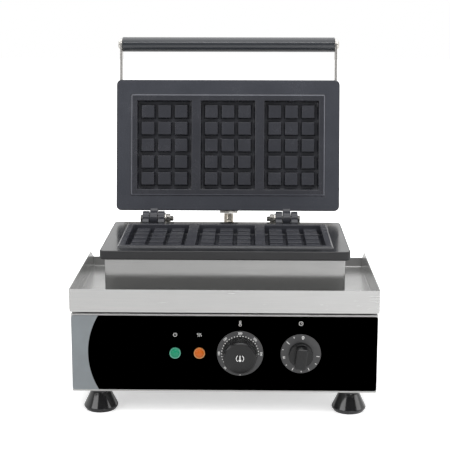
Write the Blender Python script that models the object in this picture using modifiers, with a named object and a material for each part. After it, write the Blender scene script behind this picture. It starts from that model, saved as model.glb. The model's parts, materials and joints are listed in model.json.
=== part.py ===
"""Countertop Brussels waffle iron, stored with its lid open, in metres, +Z up.

Every piece is laid out on a bench frame first: X to the right, Y back from the
front face of the drip tray, Z up from the ground, with the lid closed. The
lid's pieces hang on an empty on the hinge axis, which is then turned open.
"""
import math

import bmesh
import bpy
from mathutils import Vector

# Clearances and cutting
SEAT_GAP = 0.0003
RUN_GAP = 0.0008
OVERRUN = 0.004
TINY_MERGE = 0.00001

# Sheet metal
SHEET = 0.0012
BEND = 0.0024

# Fineness of the round shapes
HOLE_SIDES = 16
SHAFT_SIDES = 16
BAR_SIDES = 32
FOOT_STEPS = 24
KNOB_STEPS = 36
LENS_STEPS = 24
SCREW_STEPS = 12
BUSH_STEPS = 20
ARC_STEPS = 10
DOME_STEPS = 3
BEND_STEPS = 5
SHARP_ANGLE = math.radians(35)
ROUND_PROFILE_SHARE = 0.5

# Feet
FOOT_HEIGHT = 0.037
FOOT_WIDEST_R = 0.0237
FOOT_WIDEST_LEVEL = 0.005
FOOT_SOLE_R = 0.0205
FOOT_NECK_R = 0.0138
FOOT_NECK_LEVEL = 0.026
FOOT_TOP_R = 0.0124
FOOT_INSET_X = 0.0335
FOOT_INSET_Y = 0.036
FOOT_WELL_R = 0.0085
FOOT_WELL_DEPTH = 0.022
FOOT_SCREW_R = 0.003
FOOT_SCREW_HEAD_R = 0.006
FOOT_SCREW_HEAD_H = 0.004
FOOT_SCREW_RISE = 0.012

# Housing
HOUSING_SIDE_INSET = 0.002
HOUSING_SETBACK = 0.002
HOUSING_REAR_INSET = 0.003
HOUSING_HEIGHT = 0.1082
HOUSING_BEND = 0.0015
REAR_FLANGE = 0.012
VENT_LENGTH = 0.060
VENT_WIDTH = 0.004
VENT_PITCH = 0.010
VENT_ROWS = 5
VENT_SPREAD_X = 0.120
VENT_MIDDLE_LEVEL = 0.105
BASE_VENT_WIDTH = 0.006
BASE_VENT_PITCH = 0.026
BASE_VENT_ROWS = 5

# Control panel film on the housing front
PANEL_THICKNESS = 0.0008
PANEL_EDGE_MARGIN = 0.0002
PANEL_FOOT_MARGIN = 0.0026
PANEL_TOP_MARGIN = 0.0027
PANEL_CORNER = 0.003
CONTROL_HEIGHT = 0.0550

# Temperature control
HEAT_X = 0.0213
HEAT_SKIRT_R = 0.0310
HEAT_SKIRT_RIM = 0.0018
HEAT_SKIRT_RISE = 0.0036
HEAT_CAP_BASE_R = 0.0234
HEAT_CAP_FRONT_R = 0.0217
HEAT_CAP_HEIGHT = 0.0250
HEAT_CAP_ROUND = 0.0018
HEAT_DISH_DEPTH = 0.0014
HEAT_DISH_R = 0.0160

# Timer
TIMER_X = 0.1020
TIMER_SKIRT_R = 0.0270
TIMER_SKIRT_RIM = 0.0018
TIMER_SKIRT_RISE = 0.0030
TIMER_BOSS_R = 0.0162
TIMER_BOSS_HEIGHT = 0.0125
TIMER_BOSS_ROUND = 0.0012
TIMER_GRIP_WIDTH = 0.0145
TIMER_GRIP_LENGTH = 0.0282
TIMER_GRIP_HEIGHT = 0.0280
TIMER_GRIP_CORNER = 0.0030
TIMER_TURN = math.radians(7)

# Shafts, bushes and the control bodies behind the panel
SHAFT_R = 0.003
SHAFT_IN_KNOB = 0.014
SHAFT_IN_BODY = 0.016
BUSH_R = 0.006
BUSH_HOLE_PLAY = 0.0005
THERMOSTAT_SIZE = 0.044
THERMOSTAT_DEPTH = 0.036
TIMER_BODY_R = 0.025
TIMER_BODY_DEPTH = 0.044

# Pilot lamps
LAMP_GREEN_X = -0.0653
LAMP_ORANGE_X = -0.0329
LAMP_LENS_R = 0.00745
LAMP_LENS_SIDE = 0.0042
LAMP_LENS_DOME = 0.0024
LAMP_STEM_R = 0.0047
LAMP_BODY_R = 0.0072
LAMP_BODY_DEPTH = 0.026

# Drip tray
TRAY_SIDE_MARGIN = 0.03725
TRAY_BACK_MARGIN = 0.022
TRAY_HEIGHT = 0.0301
TRAY_BACK_HEIGHT = 0.0151
TRAY_SLOPE_RUN = 0.030
TRAY_STUD_HEIGHT = 0.0030
TRAY_STUD_R = 0.008
TRAY_STUD_INSET = 0.030
TRAY_SKIRT_DROP = 0.0009
TRAY_SKIRT_STEP = 0.0002

# Grill plates, both of one size
PLATE_WIDTH = 0.3375
PLATE_DEPTH = 0.198
PLATE_SETBACK = 0.033
PLATE_CORNER = 0.0055
FLANGE_THICKNESS = 0.0125
PLATEAU_RISE = 0.002
PARTING_GAP = 0.0004
CAVITY_SIDE_MARGIN = 0.0315
CAVITY_FRONT_MARGIN = 0.0315
CAVITY_BACK_MARGIN = 0.0323
CAVITY_GAP = 0.0138
CAVITY_DEPTH = 0.014
CAVITY_DRAFT = 0.0010
PLATEAU_MARGIN = 0.0085
PLATEAU_CORNER = 0.002
PEG_EDGE_X = 0.00655
PEG_EDGE_Y = 0.0069
PEG_DRAFT = 0.0010
PEG_DROP = 0.0035
PEG_GAP_X = 0.0064
PEG_GAP_Y = 0.0066
PEGS_ACROSS = 3
PEGS_ALONG = 5
CAVITIES = 3
CORE_INSET = 0.012
CORE_DROP = 0.0045

# Heater box under the lower plate and cover over the upper one
BOX_SIDE_INSET = 0.00675
BOX_END_INSET = 0.006
BOX_HEIGHT = 0.0604
COVER_HEIGHT = 0.0362
COVER_BEND = 0.005

# Heating elements, thermal blocks and the bushes of the cold ends
ELEMENT_R = 0.004
ELEMENT_PASSES = 4
ELEMENT_ROW_MARGIN = 0.033
ELEMENT_END_MARGIN = 0.032
ELEMENT_DROP_BEND = 0.012
ELEMENT_END_BELOW_TOP = 0.020
BLOCK_SIDE_PLAY = 0.003
BLOCK_END_PLAY = 0.006
WIRE_BUSH_R = 0.0070
WIRE_BUSH_BORE_R = 0.0050
WIRE_BUSH_FLANGE_R = 0.0095
WIRE_BUSH_FLANGE_H = 0.0025
WIRE_BUSH_TAIL = 0.006

# Temperature sensor under the lower plate, with its capillary
BULB_R = 0.003
BULB_HALF_LENGTH = 0.042
CAPILLARY_R = 0.0011
CAPILLARY_X = 0.060
CAPILLARY_HOLE_R = 0.004
CAPILLARY_BEND = 0.008

# Hinges
HINGE_OFFSET = 0.012
HINGE_LEFT_X = -0.1113
HINGE_RIGHT_X = 0.0891
LUG_R = 0.0112
LUG_WIDTH = 0.0100
LUG_SIDE_PLAY = 0.0007
TONGUE_WIDTH = 0.0118
LUG_BITE = 0.004
LUG_HEAD_DROP = 0.0008
LUG_ARC_START = math.radians(175)
LUG_ARC_SWEEP = math.radians(265)
HEEL_TOP_DROP = 0.003
HEEL_BOTTOM_DROP = 0.0088
BOLT_R = 0.004
BOLT_PLAY = 0.0003
BOLT_HEAD_R = 0.0052
BOLT_HEAD_H = 0.0033
WASHER_R = 0.008
WASHER_H = 0.0016
NUT_FLATS = 0.013
NUT_H = 0.0065
BOLT_TAIL = 0.0045
LID_OPEN_ANGLE = math.radians(101.5)

# Handle
HANDLE_REACH = 0.0564
HANDLE_RISE = 0.0221
HANDLE_R = 0.011
HANDLE_BORE_R = 0.0045
ARM_THICKNESS = 0.003
ARM_HALF_HEIGHT = 0.009
ARM_LENGTH_ON_COVER = 0.062
ARM_HOLE_SPREAD = 0.034
ROD_R = 0.004
CAP_NUT_R = 0.0068
CAP_NUT_H = 0.0034
CAP_NUT_BORE_DEPTH = 0.0016
ARM_SCREW_R = 0.0024
ARM_SCREW_HEAD_R = 0.0045
ARM_SCREW_HEAD_H = 0.0024
ARM_SCREW_TAIL = 0.004

# Flexible metal conduit from the housing to the lid
HOSE_R = 0.0075
HOSE_GROOVE_DEPTH = 0.0009
HOSE_BORE_R = 0.0050
HOSE_PITCH = 0.004
HOSE_X = 0.0015
HOSE_STRAIGHT = 0.015
HOSE_GLAND_RISE = 0.0320
HOSE_GLAND_LEVEL = 0.080
HOSE_BOW = 0.0625
HOSE_BOW_RISE = 0.050
HOSE_BOW_LEAN = math.radians(10)
HOSE_LID_PULL = 0.040
HOSE_BOW_PULL_UP = 0.032
HOSE_BOW_PULL_DOWN = 0.027
HOSE_REAR_PULL = 0.027
HOSE_BORE_POINTS = 30
HOSE_FINE_POINTS = 60
GLAND_FLATS = 0.027
GLAND_H = 0.009
GLAND_SPIGOT_R = 0.0078
GLAND_SPIGOT_PLAY = 0.0004
GLAND_SPIGOT_TAIL = 0.005
GLAND_BORE_R = 0.0050

# Mains cable gland, terminal block and small case screws
MAINS_X = -0.140
MAINS_LEVEL = 0.066
MAINS_FLATS = 0.022
MAINS_H = 0.008
MAINS_DOME_R = 0.0095
MAINS_DOME_H = 0.010
MAINS_BORE_R = 0.0042
TERMINAL_LENGTH = 0.062
TERMINAL_WIDTH = 0.024
TERMINAL_HEIGHT = 0.020
TERMINAL_X = -0.120
TERMINAL_INSET_Y = 0.050
CASE_SCREW_R = 0.0018
CASE_SCREW_HEAD_R = 0.0036
CASE_SCREW_HEAD_H = 0.0007
CASE_SCREW_TAIL = 0.003
CASE_SCREW_EDGE = 0.018

# Levels and places worked out from the sizes above
CAVITY_WIDTH = (PLATE_WIDTH - 2 * CAVITY_SIDE_MARGIN - (CAVITIES - 1) * CAVITY_GAP) / CAVITIES
CAVITY_LENGTH = PLATE_DEPTH - CAVITY_FRONT_MARGIN - CAVITY_BACK_MARGIN
PEG_WIDTH = (CAVITY_WIDTH - 2 * PEG_EDGE_X - (PEGS_ACROSS - 1) * PEG_GAP_X) / PEGS_ACROSS
PEG_LENGTH = (CAVITY_LENGTH - 2 * PEG_EDGE_Y - (PEGS_ALONG - 1) * PEG_GAP_Y) / PEGS_ALONG
TRAY_WIDTH = PLATE_WIDTH + 2 * TRAY_SIDE_MARGIN
TRAY_DEPTH = PLATE_SETBACK + PLATE_DEPTH + TRAY_BACK_MARGIN
HALF_HOUSING = TRAY_WIDTH / 2 - HOUSING_SIDE_INSET
HOUSING_TOP = FOOT_HEIGHT + HOUSING_HEIGHT
HOUSING_BACK = TRAY_DEPTH - HOUSING_REAR_INSET
FOOT_SPREAD_X = HALF_HOUSING - FOOT_INSET_X
TRAY_BOTTOM = HOUSING_TOP + SEAT_GAP + TRAY_STUD_HEIGHT
TRAY_RIM = TRAY_BOTTOM + TRAY_HEIGHT
BOX_BOTTOM = TRAY_BOTTOM + SHEET + SEAT_GAP
BOX_TOP = BOX_BOTTOM + BOX_HEIGHT
FLANGE_BOTTOM = BOX_TOP + SEAT_GAP
AXIS_LEVEL = FLANGE_BOTTOM + FLANGE_THICKNESS + PLATEAU_RISE + PARTING_GAP / 2
PLATE_BACK = PLATE_SETBACK + PLATE_DEPTH
AXIS_Y = PLATE_BACK + HINGE_OFFSET
HALF_PLATE = PLATE_WIDTH / 2
HALF_BOX = HALF_PLATE - BOX_SIDE_INSET
BOX_FRONT = PLATE_SETBACK + BOX_END_INSET
BOX_BACK = PLATE_BACK - BOX_END_INSET
ELEMENT_PITCH = (BOX_BACK - BOX_FRONT - 2 * ELEMENT_ROW_MARGIN) / (ELEMENT_PASSES - 1)
ELEMENT_REACH_X = HALF_BOX - ELEMENT_END_MARGIN
PANEL_FRONT = HOUSING_SETBACK - SEAT_GAP - PANEL_THICKNESS
PANEL_INSIDE = HOUSING_SETBACK + SHEET
CONTROL_LEVEL = FOOT_HEIGHT + CONTROL_HEIGHT
KNOB_BACK = PANEL_FRONT - RUN_GAP
CORE_DEPTH = PLATEAU_RISE + FLANGE_THICKNESS + CORE_DROP
HANDLE_Y = PLATE_SETBACK - HANDLE_REACH
HANDLE_DEPTH = PLATEAU_RISE + HANDLE_RISE
REAR_FACE = HOUSING_BACK - SEAT_GAP


def lid_turned(y, z):
    """Where a point of the closed lid stands when the lid is open."""
    dy = y - AXIS_Y
    dz = z - AXIS_LEVEL
    cosine = math.cos(-LID_OPEN_ANGLE)
    sine = math.sin(-LID_OPEN_ANGLE)
    return AXIS_Y + cosine * dy - sine * dz, AXIS_LEVEL + sine * dy + cosine * dz


HANDLE_LEVEL = AXIS_LEVEL + PARTING_GAP / 2 + HANDLE_DEPTH
FRONT_END = KNOB_BACK - max(HEAT_CAP_HEIGHT, TIMER_GRIP_HEIGHT)
REAR_END = lid_turned(HANDLE_Y, HANDLE_LEVEL)[0] + HANDLE_R
MIDDLE_Y = (FRONT_END + REAR_END) / 2

for old in list(bpy.data.objects):
    bpy.data.objects.remove(old, do_unlink=True)
PARTS = bpy.data.collections.new("brussels_waffle_iron")
CUTTERS = bpy.data.collections.new("cutters")
bpy.context.scene.collection.children.link(PARTS)
bpy.context.scene.collection.children.link(CUTTERS)


def finish(name, colour, roughness, metallic):
    """A plain material with the real piece's colour and gloss."""
    material = bpy.data.materials.new(name)
    material.use_nodes = True
    shader = material.node_tree.nodes["Principled BSDF"]
    shader.inputs["Base Color"].default_value = (*colour, 1.0)
    shader.inputs["Roughness"].default_value = roughness
    shader.inputs["Metallic"].default_value = metallic
    return material


STEEL = finish("brushed_stainless", (0.62, 0.61, 0.59), 0.35, 1.0)
BRIGHT_STEEL = finish("polished_fastener_steel", (0.75, 0.74, 0.72), 0.2, 1.0)
CAST_IRON = finish("coated_cast_iron", (0.075, 0.077, 0.09), 0.5, 0.3)
BLACK_PLASTIC = finish("black_phenolic", (0.05, 0.05, 0.055), 0.35, 0.0)
PANEL_FILM = finish("black_panel_film", (0.004, 0.004, 0.004), 0.3, 0.0)
RUBBER = finish("black_foot_plastic", (0.02, 0.02, 0.025), 0.25, 0.0)
GREEN_LENS = finish("green_lens", (0.03, 0.35, 0.2), 0.2, 0.0)
ORANGE_LENS = finish("orange_lens", (0.6, 0.15, 0.02), 0.2, 0.0)
CERAMIC = finish("ceramic_fibre", (0.75, 0.73, 0.68), 0.9, 0.0)
SHEATH = finish("element_sheath", (0.2, 0.19, 0.17), 0.45, 1.0)


def empty(name, place, parent=None, origin=Vector()):
    """An unseen carrier at a bench place."""
    carrier = bpy.data.objects.new(name, None)
    PARTS.objects.link(carrier)
    carrier.parent = parent
    carrier.location = Vector(place) - origin
    return carrier


BENCH = empty("bench_frame", (0, -MIDDLE_Y, 0))
AXIS_POINT = Vector((0, AXIS_Y, AXIS_LEVEL))
LID = empty("lid_axis", AXIS_POINT, BENCH)
LID.rotation_euler = (-LID_OPEN_ANGLE, 0, 0)
ORIGINS = {BENCH: Vector(), LID: AXIS_POINT}


def seat(obj, place, carrier, material=None, turn=(0, 0, 0)):
    """Hang an object on its carrier at a bench place; no material makes it a cutter."""
    obj.parent = carrier
    obj.location = Vector(place) - ORIGINS[carrier]
    obj.rotation_euler = turn
    if material is None:
        CUTTERS.objects.link(obj)
        obj.hide_render = True
        obj.display_type = 'WIRE'
    else:
        PARTS.objects.link(obj)
        obj.data.materials.append(material)
    return obj


def mesh_object(name, build):
    """An object whose mesh is made by a bmesh-building function."""
    mesh = bpy.data.meshes.new(name)
    shape = bmesh.new()
    build(shape)
    bmesh.ops.recalc_face_normals(shape, faces=shape.faces)
    shape.to_mesh(mesh)
    shape.free()
    return bpy.data.objects.new(name, mesh)


def block(name, low, high, carrier, material=None, corner=0.0, axis='Z', turn=(0, 0, 0)):
    """A box between two bench corners; its edges along the axis are rounded if asked."""
    low = Vector(low)
    high = Vector(high)
    along = 'XYZ'.index(axis)

    def build(shape):
        bmesh.ops.create_cube(shape, size=1.0)
        bmesh.ops.scale(shape, vec=high - low, verts=shape.verts)
        if corner:
            rounded = [e for e in shape.edges
                       if e.verts[0].co[along] * e.verts[1].co[along] < 0]
            bmesh.ops.bevel(shape, geom=rounded, offset=corner, segments=DOME_STEPS,
                            profile=ROUND_PROFILE_SHARE, affect='EDGES')
    return seat(mesh_object(name, build), (low + high) / 2, carrier, material, turn)


def pan(name, low, high, open_sides, bend, carrier, material):
    """A folded sheet box: a cube without its open sides, with bent edges and one wall."""
    low = Vector(low)
    high = Vector(high)
    ways = [Vector(side) for side in open_sides]
    mesh = bpy.data.meshes.new(name)
    shape = bmesh.new()
    bmesh.ops.create_cube(shape, size=1.0)
    bmesh.ops.scale(shape, vec=high - low, verts=shape.verts)
    shape.normal_update()
    lost = [f for f in shape.faces if any(f.normal.dot(way) > 0 for way in ways)]
    bmesh.ops.delete(shape, geom=lost, context='FACES')
    shape.to_mesh(mesh)
    shape.free()
    obj = seat(bpy.data.objects.new(name, mesh), (low + high) / 2, carrier, material)
    rounding = obj.modifiers.new("bends", 'BEVEL')
    rounding.width = bend
    rounding.segments = 2
    rounding.limit_method = 'ANGLE'
    skin = obj.modifiers.new("sheet", 'SOLIDIFY')
    skin.thickness = SHEET
    skin.offset = -1
    skin.use_even_offset = True
    return obj


def cylinder(name, centre, radius, length, axis, carrier, material=None,
             sides=HOLE_SIDES):
    """A round or many-sided bar about a bench centre, along X, Y or Z."""
    def build(shape):
        bmesh.ops.create_cone(shape, cap_ends=True, segments=sides, radius1=radius,
                              radius2=radius, depth=length)
    turns = {'X': (0, math.pi / 2, 0), 'Y': (math.pi / 2, 0, 0), 'Z': (0, 0, 0)}
    return seat(mesh_object(name, build), centre, carrier, material, turns[axis])


def turned(name, profile, place, axis, carrier, material=None, steps=KNOB_STEPS,
           ring=False):
    """A turned piece: radius and height pairs, outer side first, top to bottom.

    Heights run along the named axis: 'Z' up, '-Y' to the front, 'Y' to the back,
    'X' to the right or '-X' to the left. A ring's profile closes on itself.
    """
    mesh = bpy.data.meshes.new(name)
    points = [(radius, 0, height) for radius, height in profile]
    edges = [(i, i + 1) for i in range(len(points) - 1)]
    if ring:
        edges.append((len(points) - 1, 0))
    mesh.from_pydata(points, edges, [])
    obj = bpy.data.objects.new(name, mesh)
    turns = {'Z': (0, 0, 0), '-Y': (math.pi / 2, 0, 0), 'Y': (-math.pi / 2, 0, 0),
             'X': (0, math.pi / 2, 0), '-X': (0, -math.pi / 2, 0)}
    seat(obj, place, carrier, material, turns[axis])
    spin = obj.modifiers.new("turning", 'SCREW')
    spin.axis = 'Z'
    spin.steps = steps
    spin.render_steps = steps
    spin.use_merge_vertices = True
    spin.merge_threshold = TINY_MERGE
    return obj


def prism(name, outline, x_low, x_high, place, carrier, material=None):
    """A flat outline of (y, z) points about a bench place, thick from x_low to x_high."""
    def build(shape):
        half = (x_high - x_low) / 2
        near = [shape.verts.new((-half, y, z)) for y, z in outline]
        far = [shape.verts.new((half, y, z)) for y, z in outline]
        shape.faces.new(near)
        shape.faces.new(far)
        for i in range(len(outline)):
            shape.faces.new((near[i - 1], near[i], far[i], far[i - 1]))
    centre = Vector(place) + Vector(((x_low + x_high) / 2, 0, 0))
    return seat(mesh_object(name, build), centre, carrier, material)


def dome(radius, low, rise):
    """A turned dome's profile from its top down to its rim: a quarter of an ellipse."""
    points = []
    for i in range(DOME_STEPS + 1):
        angle = math.pi / 2 * i / DOME_STEPS
        points.append((radius * math.sin(angle), low + rise * math.cos(angle)))
    return points


def curve_to_mesh(name, curve):
    """The curve's solid as a mesh object, with its caps welded on."""
    guide = bpy.data.objects.new(name + "_guide", curve)
    CUTTERS.objects.link(guide)
    bpy.context.view_layer.update()
    seen = guide.evaluated_get(bpy.context.evaluated_depsgraph_get())
    mesh = bpy.data.meshes.new_from_object(seen)
    bpy.data.objects.remove(guide)
    shape = bmesh.new()
    shape.from_mesh(mesh)
    bmesh.ops.remove_doubles(shape, verts=shape.verts, dist=TINY_MERGE)
    bmesh.ops.recalc_face_normals(shape, faces=shape.faces)
    shape.to_mesh(mesh)
    shape.free()
    mesh.name = name
    return bpy.data.objects.new(name, mesh)


def tube(name, points, radii, carrier, material=None, resolution=2):
    """A tube through bench points, one radius a point, with flat caps."""
    curve = bpy.data.curves.new(name, 'CURVE')
    curve.dimensions = '3D'
    curve.bevel_depth = max(radii)
    curve.bevel_resolution = resolution
    curve.use_fill_caps = True
    spline = curve.splines.new('POLY')
    spline.points.add(len(points) - 1)
    start = Vector(points[0])
    for point, place, radius in zip(spline.points, points, radii):
        point.co = (*(Vector(place) - start), 1)
        point.radius = radius / max(radii)
    return seat(curve_to_mesh(name, curve), start, carrier, material)


def boolean(obj, tool, operation):
    """Cut or join one solid with another."""
    step = obj.modifiers.new(operation.lower() + "_" + tool.name, 'BOOLEAN')
    step.operation = operation
    step.solver = 'EXACT'
    step.object = tool


def cut(obj, *tools):
    for tool in tools:
        boolean(obj, tool, 'DIFFERENCE')


def join(obj, *tools):
    for tool in tools:
        boolean(obj, tool, 'UNION')


def smooth(obj):
    """Round pieces are shaded smooth up to their sharp edges."""
    obj.data.shade_smooth()
    obj.data.set_sharp_from_angle(angle=SHARP_ANGLE)


def make_housing():
    """The folded shell, its base, its rear panel and the film on the front."""
    shell = pan("housing_shell", (-HALF_HOUSING, HOUSING_SETBACK, FOOT_HEIGHT),
                (HALF_HOUSING, HOUSING_BACK, HOUSING_TOP), [(0, 0, -1), (0, 1, 0)], HOUSING_BEND,
                BENCH, STEEL)
    inside_x = HALF_HOUSING - SHEET - SEAT_GAP
    base_low = FOOT_HEIGHT + SEAT_GAP
    base_top = base_low + SHEET
    base = block("base_plate", (-inside_x, PANEL_INSIDE + SEAT_GAP, base_low),
                 (inside_x, REAR_FACE, base_top), BENCH, STEEL, corner=BEND)
    middle_y = (HOUSING_SETBACK + HOUSING_BACK) / 2
    for row in range(BASE_VENT_ROWS):
        y = middle_y + (row - (BASE_VENT_ROWS - 1) / 2) * BASE_VENT_PITCH
        for side in (-1, 1):
            x = side * VENT_SPREAD_X / 2
            cut(base, block("base_vent_cut", (x - VENT_LENGTH / 2, y - BASE_VENT_WIDTH / 2,
                                              base_low - OVERRUN),
                            (x + VENT_LENGTH / 2, y + BASE_VENT_WIDTH / 2,
                             base_top + OVERRUN), BENCH))
    for x, y in foot_places():
        cut(base, cylinder("foot_screw_cut", (x, y, base_low), FOOT_SCREW_R + SEAT_GAP,
                           OVERRUN + SHEET, 'Z', BENCH))
    rear = pan("rear_panel", (-inside_x, REAR_FACE - REAR_FLANGE, base_top + SEAT_GAP),
               (inside_x, REAR_FACE, HOUSING_TOP - SHEET - SEAT_GAP), [(0, -1, 0)], BEND,
               BENCH, STEEL)
    for row in range(VENT_ROWS):
        z = VENT_MIDDLE_LEVEL + (row - (VENT_ROWS - 1) / 2) * VENT_PITCH
        for side in (-1, 1):
            x = side * VENT_SPREAD_X
            cut(rear, block("rear_vent_cut", (x - VENT_LENGTH / 2, REAR_FACE - SHEET - OVERRUN,
                                              z - VENT_WIDTH / 2),
                            (x + VENT_LENGTH / 2, REAR_FACE + OVERRUN, z + VENT_WIDTH / 2),
                            BENCH))
    half_film = HALF_HOUSING - PANEL_EDGE_MARGIN
    film = block("control_panel", (-half_film, PANEL_FRONT, FOOT_HEIGHT + PANEL_FOOT_MARGIN),
                 (half_film, PANEL_FRONT + PANEL_THICKNESS, HOUSING_TOP - PANEL_TOP_MARGIN),
                 BENCH, PANEL_FILM, corner=PANEL_CORNER, axis='Y')
    for x, radius in ((HEAT_X, BUSH_R + BUSH_HOLE_PLAY), (TIMER_X, BUSH_R + BUSH_HOLE_PLAY),
                      (LAMP_GREEN_X, LAMP_STEM_R + BUSH_HOLE_PLAY),
                      (LAMP_ORANGE_X, LAMP_STEM_R + BUSH_HOLE_PLAY)):
        hole = cylinder("panel_hole_cut", (x, HOUSING_SETBACK, CONTROL_LEVEL), radius,
                        2 * OVERRUN, 'Y', BENCH)
        cut(shell, hole)
        cut(film, hole)
    return shell, rear


def make_case_screws(shell, rear):
    """Low screws through the housing sides into the rear panel's flanges."""
    y = REAR_FACE - REAR_FLANGE / 2
    low = FOOT_HEIGHT + CASE_SCREW_EDGE
    high = HOUSING_TOP - CASE_SCREW_EDGE
    for side, word in ((-1, "left"), (1, "right")):
        for z, height in ((low, "low"), (high, "high")):
            face = side * HALF_HOUSING
            hole = cylinder("case_screw_cut", (face, y, z), CASE_SCREW_R + SEAT_GAP,
                            2 * OVERRUN, 'X', BENCH, sides=SCREW_STEPS)
            cut(shell, hole)
            cut(rear, hole)
            depth = 2 * SHEET + SEAT_GAP + CASE_SCREW_TAIL
            profile = [(0, CASE_SCREW_HEAD_H), (CASE_SCREW_HEAD_R, CASE_SCREW_HEAD_H),
                       (CASE_SCREW_HEAD_R, 0), (CASE_SCREW_R, 0),
                       (CASE_SCREW_R, -depth), (0, -depth)]
            axis = 'X' if side > 0 else '-X'
            smooth(turned("case_screw_" + word + "_" + height, profile,
                          (face + side * SEAT_GAP, y, z), axis, BENCH, BRIGHT_STEEL,
                          SCREW_STEPS))


def foot_places():
    """The bench X and Y of the four feet."""
    front = HOUSING_SETBACK + FOOT_INSET_Y
    back = HOUSING_BACK - FOOT_INSET_Y
    return [(x, y) for y in (front, back) for x in (-FOOT_SPREAD_X, FOOT_SPREAD_X)]


def make_feet():
    """Four cone feet, each held by a screw from inside its well."""
    names = ("front_left", "front_right", "rear_left", "rear_right")
    bore = FOOT_SCREW_R + SEAT_GAP
    foot = [(FOOT_TOP_R, FOOT_HEIGHT), (FOOT_NECK_R, FOOT_NECK_LEVEL),
            (FOOT_WIDEST_R, FOOT_WIDEST_LEVEL), (FOOT_SOLE_R, 0), (FOOT_WELL_R, 0),
            (FOOT_WELL_R, FOOT_WELL_DEPTH), (bore, FOOT_WELL_DEPTH), (bore, FOOT_HEIGHT)]
    head_top = FOOT_WELL_DEPTH - SEAT_GAP
    head_low = head_top - FOOT_SCREW_HEAD_H
    tip = FOOT_HEIGHT + FOOT_SCREW_RISE
    screw = [(0, tip), (FOOT_SCREW_R, tip), (FOOT_SCREW_R, head_top),
             (FOOT_SCREW_HEAD_R, head_top), (FOOT_SCREW_HEAD_R, head_low), (0, head_low)]
    for word, (x, y) in zip(names, foot_places()):
        smooth(turned("foot_" + word, foot, (x, y, 0), 'Z', BENCH, RUBBER, FOOT_STEPS,
                      ring=True))
        smooth(turned("foot_screw_" + word, screw, (x, y, 0), 'Z', BENCH, BRIGHT_STEEL,
                      SCREW_STEPS))


def make_tray():
    """The drip tray: three full walls and a low back, its side walls cut on a slope.

    Its rim hangs below its floor as a skirt, and it stands on pressed studs.
    """
    half = TRAY_WIDTH / 2
    tray = pan("drip_tray", (-half, 0, TRAY_BOTTOM), (half, TRAY_DEPTH, TRAY_RIM),
               [(0, 0, 1)], BEND, BENCH, STEEL)
    side = half - TRAY_SKIRT_STEP
    skirt_top = TRAY_BOTTOM + BEND
    skirt_low = TRAY_BOTTOM - TRAY_SKIRT_DROP
    skirt = block("tray_skirt_join", (-side, TRAY_SKIRT_STEP, skirt_low),
                  (side, TRAY_DEPTH - TRAY_SKIRT_STEP, skirt_top), BENCH, corner=BEND)
    wall = TRAY_SKIRT_STEP + SHEET
    cut(skirt, block("tray_skirt_cut", (wall - half, wall, skirt_low - OVERRUN),
                     (half - wall, TRAY_DEPTH - wall, skirt_top + OVERRUN), BENCH,
                     corner=BEND - SHEET))
    join(tray, skirt)
    for x in (TRAY_STUD_INSET - half, half - TRAY_STUD_INSET):
        for y in (TRAY_STUD_INSET, TRAY_DEPTH - TRAY_STUD_INSET):
            low = HOUSING_TOP + SEAT_GAP
            top = TRAY_BOTTOM + SHEET / 2
            join(tray, cylinder("tray_stud_join", (x, y, (low + top) / 2), TRAY_STUD_R,
                                top - low, 'Z', BENCH))
    back_level = TRAY_BOTTOM + TRAY_BACK_HEIGHT
    outline = [(TRAY_DEPTH - TRAY_SLOPE_RUN, TRAY_RIM), (TRAY_DEPTH - SHEET, back_level),
               (TRAY_DEPTH + OVERRUN, back_level), (TRAY_DEPTH + OVERRUN, TRAY_RIM + OVERRUN),
               (TRAY_DEPTH - TRAY_SLOPE_RUN, TRAY_RIM + OVERRUN)]
    cut(tray, prism("tray_back_cut", outline, -half - OVERRUN, half + OVERRUN, (0, 0, 0),
                    BENCH))
    return tray


def plate_span(upper, near, far):
    """Bench levels of two distances from a plateau, measured into its own plate."""
    if upper:
        face = AXIS_LEVEL + PARTING_GAP / 2
        return face + near, face + far
    face = AXIS_LEVEL - PARTING_GAP / 2
    return face - far, face - near


def frustums(name, places, size_low, size_high, low, high, carrier):
    """Tapered blocks over a list of X and Y places; sizes are (x, y) at low and at high."""
    def build(shape):
        for x, y in places:
            made = bmesh.ops.create_cube(shape, size=1.0)
            for vert in made["verts"]:
                at_low = vert.co.z < 0
                wide, long = size_low if at_low else size_high
                level = low if at_low else high
                vert.co = Vector((x + vert.co.x * wide, y + vert.co.y * long, level)) - AXIS_POINT
    return seat(mesh_object(name, build), AXIS_POINT, carrier)


def cavity_centres():
    """The bench X of each cavity, and the Y that they share."""
    step = CAVITY_WIDTH + CAVITY_GAP
    xs = [(i - (CAVITIES - 1) / 2) * step for i in range(CAVITIES)]
    return xs, PLATE_SETBACK + CAVITY_FRONT_MARGIN + CAVITY_LENGTH / 2


def grown(size, extra):
    return size[0] + extra, size[1] + extra


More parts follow.
